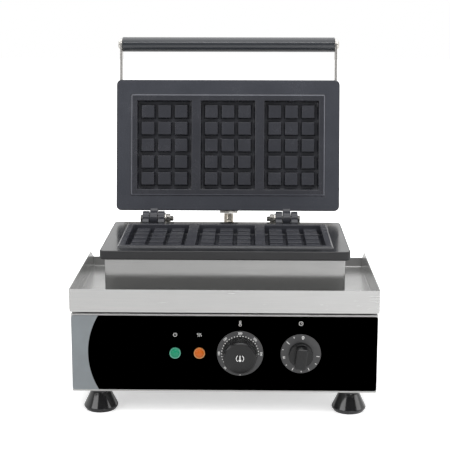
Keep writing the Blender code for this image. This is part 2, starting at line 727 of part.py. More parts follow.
def cavity_cutter(upper, carrier):
    """The three waffle cavities as one cutter, with the pegs left standing."""
    word = "upper" if upper else "lower"
    xs, y = cavity_centres()
    mouth = (CAVITY_WIDTH, CAVITY_LENGTH)
    floor = grown(mouth, -2 * CAVITY_DRAFT)
    slope = (mouth[0] - floor[0]) / CAVITY_DEPTH
    low, high = plate_span(upper, -OVERRUN, CAVITY_DEPTH)
    mouth_out = grown(mouth, slope * OVERRUN)
    sizes = (mouth_out, floor) if upper else (floor, mouth_out)
    hollow = frustums(word + "_cavity_cut", [(x, y) for x in xs], *sizes, low, high, carrier)
    places = []
    for x in xs:
        for i in range(PEGS_ACROSS):
            for j in range(PEGS_ALONG):
                places.append((x + (i - (PEGS_ACROSS - 1) / 2) * (PEG_WIDTH + PEG_GAP_X),
                               y + (j - (PEGS_ALONG - 1) / 2) * (PEG_LENGTH + PEG_GAP_Y)))
    top = (PEG_WIDTH, PEG_LENGTH)
    peg_slope = 2 * PEG_DRAFT / (CAVITY_DEPTH - PEG_DROP)
    foot = grown(top, peg_slope * (CAVITY_DEPTH + OVERRUN - PEG_DROP))
    low, high = plate_span(upper, PEG_DROP, CAVITY_DEPTH + OVERRUN)
    sizes = (top, foot) if upper else (foot, top)
    cut(hollow, frustums(word + "_peg_shapes", places, *sizes, low, high, carrier))
    return hollow


def lug_outline(reach, upper):
    """A hinge lug about the axis, in (y, z): a round eye and a web to its plate."""
    sign = 1 if upper else -1
    root = -reach - LUG_BITE
    web = PLATEAU_RISE + FLANGE_THICKNESS - LUG_HEAD_DROP
    points = [(root, sign * (PLATEAU_RISE + LUG_HEAD_DROP))]
    for i in range(ARC_STEPS + 1):
        angle = LUG_ARC_START - LUG_ARC_SWEEP * i / ARC_STEPS
        points.append((LUG_R * math.cos(angle), -sign * LUG_R * math.sin(angle)))
    points.append((root, sign * web))
    return points


def hinge_centres():
    return (("left", HINGE_LEFT_X), ("right", HINGE_RIGHT_X))


def make_plate(upper):
    """A cast plate: flange, plateau, core, cavities with pegs, and its hinge lugs."""
    carrier = LID if upper else BENCH
    word = "upper" if upper else "lower"
    low, high = plate_span(upper, PLATEAU_RISE, PLATEAU_RISE + FLANGE_THICKNESS)
    plate = block(word + "_grill_plate", (-HALF_PLATE, PLATE_SETBACK, low),
                  (HALF_PLATE, PLATE_BACK, high), carrier, CAST_IRON, corner=PLATE_CORNER)
    xs, y = cavity_centres()
    half_x = xs[-1] + CAVITY_WIDTH / 2 + PLATEAU_MARGIN
    half_y = CAVITY_LENGTH / 2 + PLATEAU_MARGIN
    low, high = plate_span(upper, 0, PLATEAU_RISE + FLANGE_THICKNESS / 2)
    join(plate, block(word + "_plateau_join", (-half_x, y - half_y, low),
                      (half_x, y + half_y, high), carrier, corner=PLATEAU_CORNER))
    low, high = plate_span(upper, PLATEAU_RISE + FLANGE_THICKNESS / 2, CORE_DEPTH)
    join(plate, block(word + "_core_join", (-HALF_PLATE + CORE_INSET, PLATE_SETBACK + CORE_INSET,
                                            low),
                      (HALF_PLATE - CORE_INSET, PLATE_BACK - CORE_INSET, high), carrier))
    outline = lug_outline(HINGE_OFFSET, upper)
    for side, x in hinge_centres():
        if upper:
            spans = [(x - TONGUE_WIDTH / 2, x + TONGUE_WIDTH / 2)]
        else:
            near = TONGUE_WIDTH / 2 + LUG_SIDE_PLAY
            spans = [(x - near - LUG_WIDTH, x - near), (x + near, x + near + LUG_WIDTH)]
        for x_low, x_high in spans:
            join(plate, prism(word + "_lug_join", outline, x_low, x_high, AXIS_POINT, carrier))
            if upper:
                join(plate, heel(x_low, x_high))
        length = 2 * (LUG_WIDTH + TONGUE_WIDTH)
        cut(plate, cylinder(word + "_hinge_bore_cut", (x, AXIS_Y, AXIS_LEVEL),
                            BOLT_R + BOLT_PLAY, length, 'X', carrier, sides=BUSH_STEPS))
    cut(plate, cavity_cutter(upper, carrier))
    return plate


def heel(x_low, x_high):
    """The stop under a tongue: with the lid open it bears on the lower plate's back edge."""
    reach = HINGE_OFFSET - SEAT_GAP
    corners = [(-reach, -HEEL_TOP_DROP), (0, -HEEL_TOP_DROP), (0, -HEEL_BOTTOM_DROP),
               (-reach, -HEEL_BOTTOM_DROP)]
    cosine = math.cos(LID_OPEN_ANGLE)
    sine = math.sin(LID_OPEN_ANGLE)
    outline = [(cosine * y - sine * z, sine * y + cosine * z) for y, z in corners]
    return prism("heel_join", outline, x_low, x_high, AXIS_POINT, LID)


def make_hinge_bolts():
    """A bolt, washer and nut at each hinge, with the nut on the inner side."""
    bore = BOLT_R + BOLT_PLAY
    half = TONGUE_WIDTH / 2 + LUG_SIDE_PLAY + LUG_WIDTH
    tail = SEAT_GAP + WASHER_H + SEAT_GAP + NUT_H + BOLT_TAIL
    for side, x in hinge_centres():
        inward = 1 if x < 0 else -1
        axis = 'X' if x < 0 else '-X'
        outer = -half - SEAT_GAP
        bolt = [(0, half + tail), (BOLT_R, half + tail), (BOLT_R, outer),
                (BOLT_HEAD_R, outer), (BOLT_HEAD_R, outer - BOLT_HEAD_H),
                (0, outer - BOLT_HEAD_H)]
        place = (x, AXIS_Y, AXIS_LEVEL)
        smooth(turned("hinge_bolt_" + side, bolt, place, axis, BENCH, BRIGHT_STEEL,
                      BUSH_STEPS))
        low = half + SEAT_GAP
        washer = [(WASHER_R, low + WASHER_H), (WASHER_R, low), (bore, low),
                  (bore, low + WASHER_H)]
        smooth(turned("hinge_washer_" + side, washer, place, axis, BENCH, BRIGHT_STEEL,
                      BUSH_STEPS, ring=True))
        middle = low + WASHER_H + SEAT_GAP + NUT_H / 2
        nut = cylinder("hinge_nut_" + side, (x + inward * middle, AXIS_Y, AXIS_LEVEL),
                       NUT_FLATS / math.sqrt(3), NUT_H, 'X', BENCH, BRIGHT_STEEL, sides=6)
        cut(nut, cylinder("nut_bore_cut", (x + inward * middle, AXIS_Y, AXIS_LEVEL), bore,
                          2 * NUT_H, 'X', BENCH, sides=BUSH_STEPS))


def element_ends():
    """The bench X and Y where the lower element turns down."""
    first = BOX_FRONT / 2 + BOX_BACK / 2 - (ELEMENT_PASSES - 1) / 2 * ELEMENT_PITCH
    last = first + (ELEMENT_PASSES - 1) * ELEMENT_PITCH
    return -ELEMENT_REACH_X - ELEMENT_DROP_BEND, first, last


def element_route(level, end_level):
    """A hairpin route under or over a plate; ends that turn down where end_level is given."""
    end_x, first, last = element_ends()
    bend = ELEMENT_PITCH / 2
    points = []
    for i in range(ELEMENT_PASSES):
        y = first + i * ELEMENT_PITCH
        way = 1 if i % 2 == 0 else -1
        points.append((-way * ELEMENT_REACH_X, y, level))
        points.append((way * ELEMENT_REACH_X, y, level))
        if i < ELEMENT_PASSES - 1:
            for j in range(1, BEND_STEPS):
                angle = math.pi * j / BEND_STEPS
                reach = ELEMENT_REACH_X + bend * math.sin(angle) / 2
                points.append((way * reach, y + bend - bend * math.cos(angle), level))
    if end_level is None:
        return points
    for row, order in ((first, -1), (last, 1)):
        turn = []
        for j in range(1, BEND_STEPS + 1):
            angle = math.pi / 2 * j / BEND_STEPS
            turn.append((-ELEMENT_REACH_X - ELEMENT_DROP_BEND * math.sin(angle), row,
                         level - ELEMENT_DROP_BEND + ELEMENT_DROP_BEND * math.cos(angle)))
        turn.append((end_x, row, end_level))
        points = turn[::-1] + points if order < 0 else points + turn
    return points


def make_lower_heat(shell, tray):
    """Heater box, thermal block, element, sensor and the bushes that clamp the stack."""
    box = pan("heater_box", (-HALF_BOX, BOX_FRONT, BOX_BOTTOM), (HALF_BOX, BOX_BACK, BOX_TOP),
              [(0, 0, 1)], BEND, BENCH, STEEL)
    core_low = plate_span(False, 0, CORE_DEPTH)[0]
    element_level = core_low - SEAT_GAP - ELEMENT_R
    block_top = element_level - ELEMENT_R - SEAT_GAP
    floor_top = BOX_BOTTOM + SHEET
    core = block("lower_thermal_block",
                 (-HALF_BOX + SHEET + BLOCK_SIDE_PLAY, BOX_FRONT + SHEET + BLOCK_SIDE_PLAY,
                  floor_top + SEAT_GAP),
                 (HALF_BOX - SHEET - BLOCK_SIDE_PLAY, BOX_BACK - SHEET - BLOCK_SIDE_PLAY,
                  block_top), BENCH, CERAMIC)
    tail_level = HOUSING_TOP - SHEET - WIRE_BUSH_TAIL
    end_level = HOUSING_TOP - SHEET - ELEMENT_END_BELOW_TOP
    route = element_route(element_level, end_level)
    smooth(tube("lower_heating_element", route, [ELEMENT_R] * len(route), BENCH, SHEATH))
    end_x, first, last = element_ends()
    for word, y in (("front", first), ("rear", last)):
        height = block_top - tail_level
        centre = (end_x, y, (block_top + tail_level) / 2)
        clear = cylinder("wire_way_cut", centre, WIRE_BUSH_R + SEAT_GAP, height + OVERRUN, 'Z',
                         BENCH)
        for piece in (box, tray, shell):
            cut(piece, clear)
        cut(core, cylinder("bush_well_cut", centre, WIRE_BUSH_FLANGE_R + SEAT_GAP,
                           height + OVERRUN, 'Z', BENCH))
        seat_level = floor_top + SEAT_GAP
        bush = [(WIRE_BUSH_FLANGE_R, seat_level + WIRE_BUSH_FLANGE_H),
                (WIRE_BUSH_FLANGE_R, seat_level), (WIRE_BUSH_R, seat_level),
                (WIRE_BUSH_R, tail_level), (WIRE_BUSH_BORE_R, tail_level),
                (WIRE_BUSH_BORE_R, seat_level + WIRE_BUSH_FLANGE_H)]
        smooth(turned("wire_bush_" + word, bush, (end_x, y, 0), 'Z', BENCH, CERAMIC,
                      BUSH_STEPS, ring=True))
    make_sensor(core_low, (core, box, tray, shell))


def make_sensor(core_low, passed):
    """The sensor bulb under the plate, and its capillary down to the thermostat."""
    level = core_low - SEAT_GAP - BULB_R
    y = (BOX_FRONT + BOX_BACK) / 2
    back = PANEL_INSIDE + SEAT_GAP + THERMOSTAT_DEPTH + SEAT_GAP
    end_level = CONTROL_LEVEL + THERMOSTAT_SIZE / 4
    bend_level = HOUSING_TOP - ELEMENT_END_BELOW_TOP
    points = [(-BULB_HALF_LENGTH, y, level), (BULB_HALF_LENGTH, y, level),
              (BULB_HALF_LENGTH + BULB_R, y, level),
              (CAPILLARY_X - CAPILLARY_BEND, y, level)]
    radii = [BULB_R, BULB_R, CAPILLARY_R, CAPILLARY_R]
    for j in range(1, BEND_STEPS + 1):
        angle = math.pi / 2 * j / BEND_STEPS
        points.append((CAPILLARY_X - CAPILLARY_BEND + CAPILLARY_BEND * math.sin(angle), y,
                       level - CAPILLARY_BEND + CAPILLARY_BEND * math.cos(angle)))
    steps = 2 * BEND_STEPS
    for j in range(steps + 1):
        share = j / steps
        ease = share * share * (3 - 2 * share)
        points.append((CAPILLARY_X + (HEAT_X - CAPILLARY_X) * ease, y + (back - y) * share,
                       bend_level + (end_level - bend_level) * math.sin(math.pi / 2 * share)))
    radii += [CAPILLARY_R] * (len(points) - len(radii))
    smooth(tube("sensor_bulb_and_capillary", points, radii, BENCH, BRIGHT_STEEL,
                resolution=1))
    way = cylinder("capillary_way_cut", (CAPILLARY_X, y, (level + bend_level) / 2),
                   CAPILLARY_HOLE_R, level - bend_level, 'Z', BENCH)
    for piece in passed:
        cut(piece, way)


def make_controls():
    """Both controls: body with its bush behind the panel, shaft and knob in front."""
    bush_end = PANEL_FRONT + SEAT_GAP
    body_front = PANEL_INSIDE + SEAT_GAP
    shaft_back = body_front + SHAFT_IN_BODY
    shaft_front = KNOB_BACK - SHAFT_IN_KNOB
    half = THERMOSTAT_SIZE / 2
    thermostat = block("thermostat_body", (HEAT_X - half, body_front, CONTROL_LEVEL - half),
                       (HEAT_X + half, body_front + THERMOSTAT_DEPTH, CONTROL_LEVEL + half),
                       BENCH, CERAMIC)
    timer = cylinder("timer_body", (TIMER_X, body_front + TIMER_BODY_DEPTH / 2, CONTROL_LEVEL),
                     TIMER_BODY_R, TIMER_BODY_DEPTH, 'Y', BENCH, BRIGHT_STEEL,
                     sides=LENS_STEPS)
    for body, x, word in ((thermostat, HEAT_X, "thermostat"), (timer, TIMER_X, "timer")):
        bush_back = body_front + SHAFT_IN_BODY / 2
        join(body, cylinder(word + "_bush_join", (x, (bush_end + bush_back) / 2, CONTROL_LEVEL),
                            BUSH_R, bush_back - bush_end, 'Y', BENCH))
        bore_back = shaft_back + SEAT_GAP
        cut(body, cylinder(word + "_bore_cut", (x, (bush_end - OVERRUN + bore_back) / 2,
                                                CONTROL_LEVEL), SHAFT_R + SEAT_GAP,
                           bore_back - bush_end + OVERRUN, 'Y', BENCH))
        smooth(cylinder(word + "_shaft", (x, (shaft_front + shaft_back) / 2, CONTROL_LEVEL),
                        SHAFT_R, shaft_back - shaft_front, 'Y', BENCH, BRIGHT_STEEL,
                        sides=SHAFT_SIDES))
    bore = SHAFT_R + SEAT_GAP
    bore_end = SHAFT_IN_KNOB + SEAT_GAP
    heat = [(0, HEAT_CAP_HEIGHT - HEAT_DISH_DEPTH),
            (HEAT_DISH_R, HEAT_CAP_HEIGHT - HEAT_DISH_DEPTH),
            (HEAT_CAP_FRONT_R - HEAT_CAP_ROUND, HEAT_CAP_HEIGHT),
            (HEAT_CAP_FRONT_R, HEAT_CAP_HEIGHT - HEAT_CAP_ROUND),
            (HEAT_CAP_BASE_R, HEAT_SKIRT_RISE), (HEAT_SKIRT_R, HEAT_SKIRT_RIM),
            (HEAT_SKIRT_R, 0), (bore, 0), (bore, bore_end), (0, bore_end)]
    smooth(turned("temperature_knob", heat, (HEAT_X, KNOB_BACK, CONTROL_LEVEL), '-Y', BENCH,
                  BLACK_PLASTIC))
    boss = [(0, TIMER_BOSS_HEIGHT), (TIMER_BOSS_R - TIMER_BOSS_ROUND, TIMER_BOSS_HEIGHT),
            (TIMER_BOSS_R, TIMER_BOSS_HEIGHT - TIMER_BOSS_ROUND),
            (TIMER_BOSS_R, TIMER_SKIRT_RISE), (TIMER_SKIRT_R, TIMER_SKIRT_RIM),
            (TIMER_SKIRT_R, 0), (0, 0)]
    knob = turned("timer_knob", boss, (TIMER_X, KNOB_BACK, CONTROL_LEVEL), '-Y', BENCH,
                  BLACK_PLASTIC)
    join(knob, block("timer_grip_join",
                     (TIMER_X - TIMER_GRIP_WIDTH / 2, KNOB_BACK - TIMER_GRIP_HEIGHT,
                      CONTROL_LEVEL - TIMER_GRIP_LENGTH / 2),
                     (TIMER_X + TIMER_GRIP_WIDTH / 2, KNOB_BACK - TIMER_SKIRT_RISE,
                      CONTROL_LEVEL + TIMER_GRIP_LENGTH / 2),
                     BENCH, corner=TIMER_GRIP_CORNER, axis='Y', turn=(0, TIMER_TURN, 0)))
    cut(knob, cylinder("timer_knob_bore_cut", (TIMER_X, KNOB_BACK - (bore_end - OVERRUN) / 2,
                                               CONTROL_LEVEL), bore, bore_end + OVERRUN, 'Y',
                       BENCH))


def make_lamps():
    """Two pilot lamps: a domed lens in front and its holder behind the panel."""
    stem_end = PANEL_INSIDE
    lens_back = PANEL_FRONT - SEAT_GAP
    for word, x, material in (("green", LAMP_GREEN_X, GREEN_LENS),
                              ("orange", LAMP_ORANGE_X, ORANGE_LENS)):
        lens = dome(LAMP_LENS_R, LAMP_LENS_SIDE, LAMP_LENS_DOME)
        lens += [(LAMP_LENS_R, 0), (LAMP_STEM_R, 0), (LAMP_STEM_R, lens_back - stem_end),
                 (0, lens_back - stem_end)]
        smooth(turned("lamp_lens_" + word, lens, (x, lens_back, CONTROL_LEVEL), '-Y', BENCH,
                      material, LENS_STEPS))
        front = PANEL_INSIDE + SEAT_GAP
        smooth(cylinder("lamp_holder_" + word, (x, front + LAMP_BODY_DEPTH / 2, CONTROL_LEVEL),
                        LAMP_BODY_R, LAMP_BODY_DEPTH, 'Y', BENCH, BLACK_PLASTIC,
                        sides=BUSH_STEPS))


def make_cover():
    """The lid's folded cover, its thermal block and its element, over the upper plate."""
    low = plate_span(True, 0, PLATEAU_RISE + FLANGE_THICKNESS)[1] + SEAT_GAP
    high = low + COVER_HEIGHT
    cover = pan("upper_cover", (-HALF_BOX, BOX_FRONT, low), (HALF_BOX, BOX_BACK, high),
                [(0, 0, -1)], COVER_BEND, LID, STEEL)
    core_high = plate_span(True, 0, CORE_DEPTH)[1]
    element_level = core_high + SEAT_GAP + ELEMENT_R
    route = element_route(element_level, None)
    smooth(tube("upper_heating_element", route, [ELEMENT_R] * len(route), LID, SHEATH))
    block("upper_thermal_block",
          (-HALF_BOX + SHEET + BLOCK_END_PLAY, BOX_FRONT + SHEET + BLOCK_END_PLAY,
           element_level + ELEMENT_R + SEAT_GAP),
          (HALF_BOX - SHEET - BLOCK_END_PLAY, BOX_BACK - SHEET - BLOCK_END_PLAY,
           high - SHEET - SEAT_GAP), LID, CERAMIC)
    return cover


def stadium(y_front, y_back, half_height):
    """A strip outline with round ends, in (y, z) about its own middle line."""
    points = []
    steps = ARC_STEPS
    for centre, start in ((y_back, -math.pi / 2), (y_front, math.pi / 2)):
        for i in range(steps + 1):
            angle = start + math.pi * i / steps
            points.append((centre + half_height * math.cos(angle),
                           half_height * math.sin(angle)))
    return points


def make_handle(cover):
    """A round bar on a rod between two flat arms, which are screwed to the cover."""
    arm_in = HALF_BOX + SEAT_GAP
    arm_out = arm_in + ARM_THICKNESS
    bar = cylinder("handle_bar", (0, HANDLE_Y, HANDLE_LEVEL), HANDLE_R,
                   2 * (arm_in - SEAT_GAP), 'X', LID, BLACK_PLASTIC, sides=BAR_SIDES)
    cut(bar, cylinder("handle_bore_cut", (0, HANDLE_Y, HANDLE_LEVEL), HANDLE_BORE_R,
                      TRAY_WIDTH, 'X', LID))
    smooth(bar)
    nut_seat = arm_out + SEAT_GAP
    rod_end = nut_seat + CAP_NUT_BORE_DEPTH - SEAT_GAP
    smooth(cylinder("handle_rod", (0, HANDLE_Y, HANDLE_LEVEL), ROD_R, 2 * rod_end, 'X', LID,
                    BRIGHT_STEEL, sides=SHAFT_SIDES))
    arm_back = BOX_FRONT + ARM_LENGTH_ON_COVER
    outline = stadium(HANDLE_Y, arm_back, ARM_HALF_HEIGHT)
    hole_r = ROD_R + SEAT_GAP
    nut = dome(CAP_NUT_R, 0, CAP_NUT_H)
    nut += [(hole_r, 0), (hole_r, CAP_NUT_BORE_DEPTH), (0, CAP_NUT_BORE_DEPTH)]
    screw_seat = arm_out + SEAT_GAP
    screw_depth = SEAT_GAP + ARM_THICKNESS + SEAT_GAP + SHEET + ARM_SCREW_TAIL
    screw = dome(ARM_SCREW_HEAD_R, 0, ARM_SCREW_HEAD_H)
    screw += [(ARM_SCREW_R, 0), (ARM_SCREW_R, -screw_depth), (0, -screw_depth)]
    for side, word in ((-1, "left"), (1, "right")):
        axis = 'X' if side > 0 else '-X'
        x_low, x_high = sorted((side * arm_in, side * arm_out))
        arm = prism("handle_arm_" + word, outline, x_low, x_high, (0, 0, HANDLE_LEVEL), LID,
                    STEEL)
        cut(arm, cylinder("rod_hole_cut", (side * arm_in, HANDLE_Y, HANDLE_LEVEL), hole_r,
                          2 * (ARM_THICKNESS + OVERRUN), 'X', LID))
        smooth(turned("handle_cap_nut_" + word, nut, (side * nut_seat, HANDLE_Y, HANDLE_LEVEL),
                      axis, LID, BRIGHT_STEEL, BUSH_STEPS))
        for y, place in ((arm_back, "rear"), (arm_back - ARM_HOLE_SPREAD, "front")):
            hole = cylinder("arm_screw_cut", (side * arm_in, y, HANDLE_LEVEL),
                            ARM_SCREW_R + SEAT_GAP, 2 * (ARM_THICKNESS + OVERRUN), 'X', LID,
                            sides=SCREW_STEPS)
            cut(arm, hole)
            cut(cover, hole)
            smooth(turned("arm_screw_" + word + "_" + place, screw,
                          (side * screw_seat, y, HANDLE_LEVEL), axis, LID, BRIGHT_STEEL,
                          SCREW_STEPS))


def gland(name, centre, wall_piece, carrier, flats, height, bore, material):
    """A hexagon gland on a wall facing +Y, its spigot through the wall, and its bore cutter."""
    x, wall_y, z = centre
    face = wall_y + SEAT_GAP
    middle = face + height / 2
    body = cylinder(name, (x, middle, z), flats / math.sqrt(3), height, 'Y', carrier, material,
                    sides=6)
    spigot_end = wall_y - SHEET - GLAND_SPIGOT_TAIL
    join(body, cylinder(name + "_spigot_join", (x, (spigot_end + middle) / 2, z),
                        GLAND_SPIGOT_R, middle - spigot_end, 'Y', carrier, sides=BUSH_STEPS))
    cut(wall_piece, cylinder(name + "_wall_cut", (x, wall_y, z),
                             GLAND_SPIGOT_R + GLAND_SPIGOT_PLAY, 2 * OVERRUN, 'Y', carrier,
                             sides=BUSH_STEPS))
    length = 2 * (height + MAINS_DOME_H + OVERRUN)
    return body, cylinder(name + "_bore_cut", (x, face, z), bore, length, 'Y', carrier)


def bow(start, start_pull, end_pull, end):
    """A smooth stretch between two points: a cubic curve with a pull at each end."""
    points = []
    for i in range(HOSE_FINE_POINTS):
        share = i / HOSE_FINE_POINTS
        rest = 1 - share
        points.append(start * rest ** 3 + start_pull * 3 * share * rest ** 2
                      + end_pull * 3 * share ** 2 * rest + end * share ** 3)
    return points


def hose_route():
    """The conduit's middle line: straight at both glands, bowed out behind the housing."""
    end = SEAT_GAP + GLAND_H + SEAT_GAP
    top = Vector((HOSE_X, *lid_turned(BOX_BACK + end, AXIS_LEVEL + HOSE_GLAND_RISE)))
    way = Vector((0, math.cos(LID_OPEN_ANGLE), -math.sin(LID_OPEN_ANGLE)))
    foot = Vector((HOSE_X, REAR_FACE + end, HOSE_GLAND_LEVEL))
    out = Vector((0, 1, 0))
    middle = foot + Vector((0, HOSE_BOW, HOSE_BOW_RISE)) - out * end
    down = Vector((0, math.sin(HOSE_BOW_LEAN), -math.cos(HOSE_BOW_LEAN)))
    first = top + way * HOSE_STRAIGHT
    last = foot + out * HOSE_STRAIGHT
    points = [top]
    points += bow(first, first + way * HOSE_LID_PULL, middle - down * HOSE_BOW_PULL_UP, middle)
    points += bow(middle, middle + down * HOSE_BOW_PULL_DOWN, last + out * HOSE_REAR_PULL, last)
    return points + [last, foot], way, out


def evenly(points):
    """A function from a distance along the points to the place there, and their length."""
    lengths = [0.0]
    for a, b in zip(points, points[1:]):
        lengths.append(lengths[-1] + (b - a).length)

    def at(distance):
        for i in range(1, len(points)):
            if lengths[i] >= distance:
                share = (distance - lengths[i - 1]) / (lengths[i] - lengths[i - 1])
                return points[i - 1].lerp(points[i], share)
        return points[-1]
    return at, lengths[-1]


def make_conduit(cover, rear):
    """The ribbed metal conduit that carries the lid's wires, with a gland at each end."""
    for name, centre, wall_piece, carrier in (
            ("lid_hose_gland", (HOSE_X, BOX_BACK, AXIS_LEVEL + HOSE_GLAND_RISE), cover, LID),
            ("rear_hose_gland", (HOSE_X, REAR_FACE, HOSE_GLAND_LEVEL), rear, BENCH)):
        cut(*gland(name, centre, wall_piece, carrier, GLAND_FLATS, GLAND_H, GLAND_BORE_R,
                   BRIGHT_STEEL))
    points, way, out = hose_route()
    at, total = evenly(points)
    ribs = int((total - 2 * HOSE_STRAIGHT) / HOSE_PITCH)
    lead = (total - ribs * HOSE_PITCH) / 2
    groove = HOSE_R - HOSE_GROOVE_DEPTH
    stops = [0.0, lead - HOSE_PITCH / 2]
    radii = [HOSE_R, HOSE_R]
    for i in range(ribs):
        stops += [lead + i * HOSE_PITCH, lead + (i + 1 / 2) * HOSE_PITCH]
        radii += [groove, HOSE_R]
    stops += [total - lead, total - lead + HOSE_PITCH / 2, total]
    radii += [groove, HOSE_R, HOSE_R]
    hose = tube("lid_conduit", [at(stop) for stop in stops], radii, BENCH, BRIGHT_STEEL)
    smooth(hose)
    core = [points[0] - way * OVERRUN]
    core += [at(total * i / HOSE_BORE_POINTS) for i in range(HOSE_BORE_POINTS + 1)]
    core.append(points[-1] - out * OVERRUN)
    cut(hose, tube("lid_conduit_bore_cut", core, [HOSE_BORE_R] * len(core), BENCH))
    print("lid_conduit", round(total, 4), "m long with", ribs + 1, "grooves")


def make_mains_entry(rear):
    """The mains gland in the rear panel, and the terminal block behind it."""
    body, bore = gland("mains_cable_gland", (MAINS_X, REAR_FACE, MAINS_LEVEL), rear, BENCH,
                       MAINS_FLATS, MAINS_H, MAINS_BORE_R, BLACK_PLASTIC)
    cap = dome(MAINS_DOME_R, MAINS_H, MAINS_DOME_H)
    cap += [(MAINS_DOME_R, MAINS_H / 2), (0, MAINS_H / 2)]
    join(body, turned("mains_dome_join", cap, (MAINS_X, REAR_FACE + SEAT_GAP, MAINS_LEVEL),
                      'Y', BENCH, steps=BUSH_STEPS))
    cut(body, bore)
    low = FOOT_HEIGHT + SEAT_GAP + SHEET + SEAT_GAP
    y = REAR_FACE - TERMINAL_INSET_Y
    block("terminal_block", (TERMINAL_X - TERMINAL_LENGTH / 2, y - TERMINAL_WIDTH / 2, low),
          (TERMINAL_X + TERMINAL_LENGTH / 2, y + TERMINAL_WIDTH / 2, low + TERMINAL_HEIGHT),
          BENCH, CERAMIC)


housing_shell, rear_panel = make_housing()
make_case_screws(housing_shell, rear_panel)
make_feet()
drip_tray = make_tray()
make_lower_heat(housing_shell, drip_tray)
make_plate(False)
make_plate(True)
make_hinge_bolts()
make_controls()
make_lamps()
upper_cover = make_cover()
make_handle(upper_cover)
make_conduit(upper_cover, rear_panel)
make_mains_entry(rear_panel)
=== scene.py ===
"""Looks of a countertop Brussels waffle iron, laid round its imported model.

Lengths are metres in the model's frame: X to the right, Y to the back, Z up.
"""
import json
import math

import bmesh
import bpy
import numpy as np
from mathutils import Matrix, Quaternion, Vector


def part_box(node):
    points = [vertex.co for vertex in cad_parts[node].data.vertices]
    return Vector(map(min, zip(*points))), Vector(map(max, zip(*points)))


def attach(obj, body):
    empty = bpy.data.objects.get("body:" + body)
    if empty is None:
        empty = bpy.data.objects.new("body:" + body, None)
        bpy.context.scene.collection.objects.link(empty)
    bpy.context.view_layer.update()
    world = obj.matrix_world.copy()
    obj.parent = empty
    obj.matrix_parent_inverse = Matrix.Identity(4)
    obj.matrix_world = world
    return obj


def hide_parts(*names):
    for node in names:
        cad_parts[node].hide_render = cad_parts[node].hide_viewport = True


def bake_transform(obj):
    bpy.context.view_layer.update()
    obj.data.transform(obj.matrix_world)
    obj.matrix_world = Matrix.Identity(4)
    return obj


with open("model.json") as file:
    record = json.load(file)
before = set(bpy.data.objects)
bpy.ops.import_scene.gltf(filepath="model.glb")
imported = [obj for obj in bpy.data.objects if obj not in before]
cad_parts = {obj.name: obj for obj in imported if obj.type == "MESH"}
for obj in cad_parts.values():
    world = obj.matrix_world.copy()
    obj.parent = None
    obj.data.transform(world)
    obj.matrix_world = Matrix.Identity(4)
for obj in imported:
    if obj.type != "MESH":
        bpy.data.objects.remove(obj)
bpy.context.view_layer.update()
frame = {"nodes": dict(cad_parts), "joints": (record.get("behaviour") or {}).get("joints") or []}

MM = 0.001
NODES = frame["nodes"]
PLACES = {joint["name"]: np.array(joint["pos_m"]) for joint in frame["joints"]}
SIDES = ((-1, "left"), (1, "right"))
FRONT = (0, -1, 0)

# Hinge axis, and the planes that the plates share
AXIS = PLACES["lid_hinge"]
OPEN_ANGLE = math.radians(101.5)
OPEN_COS, OPEN_SIN = math.cos(OPEN_ANGLE), math.sin(OPEN_ANGLE)
HALF_PARTING = 0.2 * MM
SEAT_GAP = 0.3 * MM

# Cast plates: distances from the hinge axis, from the middle, or into the plate
PLATE_HALF = 168.75 * MM
PLATE_NEAR = 12 * MM
PLATE_FAR = 210 * MM
PLATE_CORNER = 7.5 * MM
PLATE_EDGE_ROUND = 1.6 * MM
PLATE_FOOT_ROUND = 2.6 * MM
FLANGE_DEPTH = 2 * MM
BACK_DEPTH = 14.5 * MM
CORE_DEPTH = 19 * MM
CORE_INSET = 12 * MM
CAVITIES = 3
CAVITY_WIDTH = 82.3 * MM
CAVITY_LENGTH = 134.2 * MM
CAVITY_STEP = 96.1 * MM
CAVITY_FRONT = 31.5 * MM
CAVITY_DEPTH = 14 * MM
DRAFT = 1 * MM
PEGS_ACROSS = 3
PEGS_ALONG = 5
PEG = 18.8 * MM
PEG_STEP_X = 25.2 * MM
PEG_STEP_V = 25.4 * MM
PEG_DROP = 3.5 * MM
PLATEAU_MARGIN = 8.5 * MM
PLATEAU_CORNER = 2 * MM
PLATEAU_ROUND = 0.9 * MM

# Hinges
HINGES = {"left": -111.3 * MM, "right": 89.1 * MM}
LUG_R = 11.2 * MM
LUG_WIDTH = 10 * MM
TONGUE_WIDTH = 11.8 * MM
LUG_PLAY = 0.7 * MM
LUG_DROP = 0.8 * MM
LUG_BITE = 4 * MM
LUG_EASE = 0.8 * MM
HEEL_TOP_DROP = 3 * MM
HEEL_BOTTOM_DROP = 8.8 * MM
BOLT_R = 4 * MM
BOLT_HEAD_R = 5.2 * MM
BOLT_HEAD_H = 3.3 * MM
BOLT_TAIL = 4.5 * MM
THREAD_PITCH = 1.25 * MM
THREAD_DEPTH = 0.35 * MM
WASHER_R = 8 * MM
WASHER_H = 1.6 * MM
NUT_FLATS = 13 * MM
NUT_H = 6.5 * MM

# Handle, and pan-head screws of each kind: body, places, head's radius and rise. The
# recess goes by shares of the head
BAR_R = 11 * MM
BAR_BORE_R = 4.5 * MM
CAP_NUT_R = 6.8 * MM
CAP_NUT_H = 3.4 * MM
CAP_NUT_RIM = 1.2 * MM
SIDE_SCREWS = {"arm": ("lid", ("front", "rear"), 4.5 * MM, 2.4 * MM),
               "case": ("base", ("low", "high"), 3.6 * MM, 0.7 * MM)}
DOME_POWER = 2.6
RECESS_WIDTH = 0.16
RECESS_REACH = 0.62
RECESS_DEPTH = 0.62

